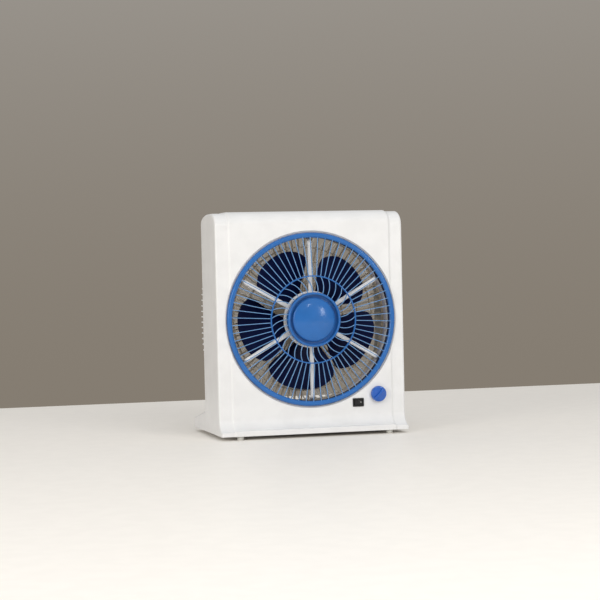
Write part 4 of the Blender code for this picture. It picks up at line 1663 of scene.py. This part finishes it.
@dataclass
class Controls:
    """The speed knob, the rocker switch and the mains inlet."""

    knob_radius: float = 0.013
    knob_face: float = 0.009
    knob_back: float = 0.0008
    switch_size: Point = (0.018, 0.013)
    rocker_pivot: float = -0.003
    rocker_tilt: float = math.radians(7)
    inlet_back: float = -0.1153

    def build(self) -> None:
        """Makes the controls."""
        self.build_knob()
        self.build_switch()
        self.build_inlet()

    def build_knob(self) -> None:
        """A round knob with a rounded rim and a grip bar across it."""
        centre = centre_of("speed_knob", 0.0)
        radius, face, back = self.knob_radius, self.knob_face, self.knob_back
        profile = [
            (0.0, face), (radius - 0.0016, face), (radius, face - 0.0016), (radius, back),
            (0.0033, back), (0.0033, 0.007), (0.0, 0.007),
        ]
        disc = turned(soften(profile, 0.0011, 4, False), 96, centre.xy, False)
        grip_outline = box_outline(0.0232, 0.0044, 0.0018)
        place = DATUM.fan @ Matrix.Translation(centre) @ Matrix.Rotation(math.radians(45), 4, "Z")
        grip = prism(grip_outline, face - 0.001, face + 0.0044, 0.0011, place)
        piece("speed_dial", merged([disc, grip]), ROYAL, Body.KNOB, ["speed_knob"])

    def build_switch(self) -> None:
        """The switch's frame and its rocker, with a round dot at its pressed end."""
        centre = centre_of("rocker_frame", 0.0)
        width, height = self.switch_size
        flange = 0.0014
        shift = DATUM.fan @ Matrix.Translation(centre)
        rim = prism(
            box_outline(width + 0.0012, height + 0.0012, 0.0012), 0.0003, 0.0003 + flange, 0.0005, shift
        )
        tools = [
            (
                Carve.JOIN,
                prism(box_outline(width - 0.001, height - 0.001, 0.0006), -0.015, 0.0006, 0.0003, shift)
            ),
            (
                Carve.CUT,
                prism(box_outline(width - 0.002, height - 0.0028, 0.0006), -0.004, 0.008, MERGE, shift)
            ),
        ]
        piece("switch_frame", carved(rim, tools), BLACK, Body.CASE, ["rocker_frame"])
        low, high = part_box("rocker")
        pivot = Vector((centre.x, centre.y, self.rocker_pivot))
        outline = [
            (-0.0072, 0.0042), (-0.0036, 0.0030), (0.0, 0.0026), (0.0036, 0.0030), (0.0072, 0.0042),
            (0.0072, 0.0015),
            (0.004, -0.0025), (-0.004, -0.0025), (-0.0072, 0.0015),
        ]
        half = (high.z - low.z) / 2
        swing = DATUM.fan @ Matrix.Translation(pivot) @ Matrix.Rotation(self.rocker_tilt, 4, "Y")
        upright = Matrix.Rotation(math.pi / 2, 4, "X")
        key = prism(soften(outline, 0.0006), -half, half, 0.0004, swing @ upright)
        piece("rocker_key", key, BLACK, Body.ROCKER, ["rocker"])
        dot_place = swing @ Matrix.Translation((0.0045, 0.0, 0.00335)) @ Matrix.Rotation(
            math.radians(-18), 4, "Y"
        )
        dot = turned(
            [(0.0, 0.0001), (0.0007, 0.0001), (0.0007, -0.0004), (0.0, -0.0004)], 24, closed=False,
            place=dot_place
        )
        piece("rocker_dot", dot, LEGEND, Body.ROCKER)

    def build_inlet(self) -> None:
        """The inlet's flange and recess."""
        centre = centre_of("mains_inlet", 0.0)
        shift = DATUM.fan @ Matrix.Translation(centre)
        rim = prism(box_outline(0.023, 0.014, 0.002), self.inlet_back - 0.002, self.inlet_back, 0.0005, shift)
        tools = [
            (
                Carve.JOIN,
                prism(box_outline(0.018, 0.009, 0.0008), self.inlet_back - 0.001, -0.0985, 0.0004, shift)
            ),
            (Carve.CUT, prism(box_outline(0.0152, 0.0066, 0.0012), -0.127, -0.107, MERGE, shift)),
        ]
        piece("inlet_socket", carved(rim, tools), BLACK, Body.CASE, ["mains_inlet"])


CARRIED = {
    "louvre_shaft": STEEL, "louvre_screw": STEEL, "rotor": LAMINATION, "front_winding": COPPER,
    "rear_winding": COPPER, "front_bearing": STEEL, "rear_bearing": STEEL, "switch_spindle": STEEL,
    "speed_switch": BLACK, "inlet_pin_1": STEEL, "inlet_pin_2": STEEL, "terminal_block": SHADED_CREAM,
    "capacitor": GREY,
}


def dress_carried_nodes() -> None:
    """Gives the CAD nodes that stay their finishes."""
    for name, finish in CARRIED.items():
        obj = frame["nodes"][name]
        obj.data.materials.clear()
        obj.data.materials.append(finish.material())
        LOG.info("%s: CAD node in %s", name, finish.slot)


# Studio


@dataclass
class Studio:
    """Floor, light and camera."""

    distance: float = 3.0
    yaw: float = math.radians(-15.2)
    pitch: float = math.radians(1.8)
    roll: float = math.radians(-1.28)
    lens: float = 108.9
    shift: Point = (-0.0196, 0.0323)
    table_half: float = 6.0
    table_front: float = -6.0
    table_back: float = 0.80

    def build(self) -> None:
        """Makes everything that isn't the object."""
        self.build_floor()
        self.build_world()
        self.build_lights()
        self.build_camera()

    def build_floor(self) -> None:
        """A plain pale table top with a rounded far edge."""
        middle = (0.0, (self.table_front + self.table_back) / 2)
        outline = box_outline(2 * self.table_half, self.table_back - self.table_front, 0.0, middle)
        floor = linked("floor", prism(outline, -0.04, 0.0, 0.006, Matrix.Identity(4)))
        paint = Finish("floor", (0.97, 0.93, 0.87), 0.50, grain=0.00001, wave=0.0, mottle=0.02, haze=0.04)
        floor.data.materials.append(paint.material())

    def build_world(self) -> None:
        """Even light from all round, a little brighter overhead."""
        world = bpy.data.worlds.new("studio")
        bpy.context.scene.world = world
        world.use_nodes = True
        graph = Graph(world.node_tree)
        _, _, up = graph.parts(graph.node("ShaderNodeTexCoord", None, None, "Generated"))
        low, high = (0.31, 0.27, 0.22), (1.00, 1.01, 1.02)
        colour = graph.blend(up.ramp(-0.1, 0.9), low, high)
        light = graph.node("ShaderNodeBackground", None, {"Color": colour, "Strength": 0.75})
        graph.node("ShaderNodeOutputWorld", None, {"Surface": light})

    def build_lights(self) -> None:
        """A large soft key, a low fill and a tall window that the glossy parts reflect."""
        self.area("key", (0.5, -2.7, 1.6), 1.6, 1.6, 29, (0.98, 0.99, 1.0), mirrored=False)
        self.area("fill", (-2.4, -1.8, 0.9), 1.4, 1.4, 26, (1.0, 0.97, 0.93))
        self.area("window", (1.0, -2.38, 0.47), 0.17, 0.36, 2.6, (1.0, 1.0, 1.0))
        self.area("spark", (0.34, -2.47, 0.89), 0.10, 0.10, 1.0, (1.0, 1.0, 1.0))

    def area(
        self, name: str, spot: Place, width: float, height: float, power: float, colour: Colour,
        mirrored: bool = True,
    ) -> None:
        """A rectangular light that faces the fan's middle.

        Args:
            name: its name.
            spot: where it stands.
            width: its width.
            height: its height.
            power: its power in watts.
            colour: its colour.
            mirrored: whether glossy surfaces show it.
        """
        light = bpy.data.lights.new(name, "AREA")
        light.shape = "RECTANGLE"
        light.size, light.size_y = width, height
        light.energy = power
        light.color = colour
        obj = bpy.data.objects.new(name, light)
        obj.location = spot
        obj.visible_glossy = mirrored
        towards = Vector((0, DATUM.panel_y, DATUM.axis_z)) - Vector(spot)
        obj.rotation_euler = towards.to_track_quat("-Z", "Y").to_euler()
        bpy.context.scene.collection.objects.link(obj)

    def build_camera(self) -> None:
        """The camera, which looks at the middle of the grille from the front left."""
        scene = bpy.context.scene
        cos_pitch = math.cos(self.pitch)
        back = Vector((math.sin(self.yaw) * cos_pitch, -math.cos(self.yaw) * cos_pitch, math.sin(self.pitch)))
        right = Vector((math.cos(self.yaw), math.sin(self.yaw), 0))
        up = back.cross(right)
        lean_right = right * math.cos(self.roll) + up * math.sin(self.roll)
        lean_up = up * math.cos(self.roll) - right * math.sin(self.roll)
        turn = Matrix((lean_right, lean_up, back)).transposed().to_4x4()
        middle = Vector((0, DATUM.panel_y, DATUM.axis_z))
        data = bpy.data.cameras.new("camera")
        data.lens = self.lens
        data.shift_x, data.shift_y = self.shift
        camera = bpy.data.objects.new("camera", data)
        camera.matrix_world = Matrix.Translation(middle + back * self.distance) @ turn
        scene.collection.objects.link(camera)
        scene.camera = camera
        scene.view_settings.view_transform = "Standard"


def main() -> None:
    """Builds the object and the studio."""
    logging.basicConfig(level=logging.INFO, format="%(name)s: %(message)s")
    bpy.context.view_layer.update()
    for assembly in (Case(), AirPath(), Louvre(), Impeller(), Motor(), Controls(), Studio()):
        LOG.info("building %s", type(assembly).__name__)
        assembly.build()
    dress_carried_nodes()


if __name__ == "__main__":
    main()
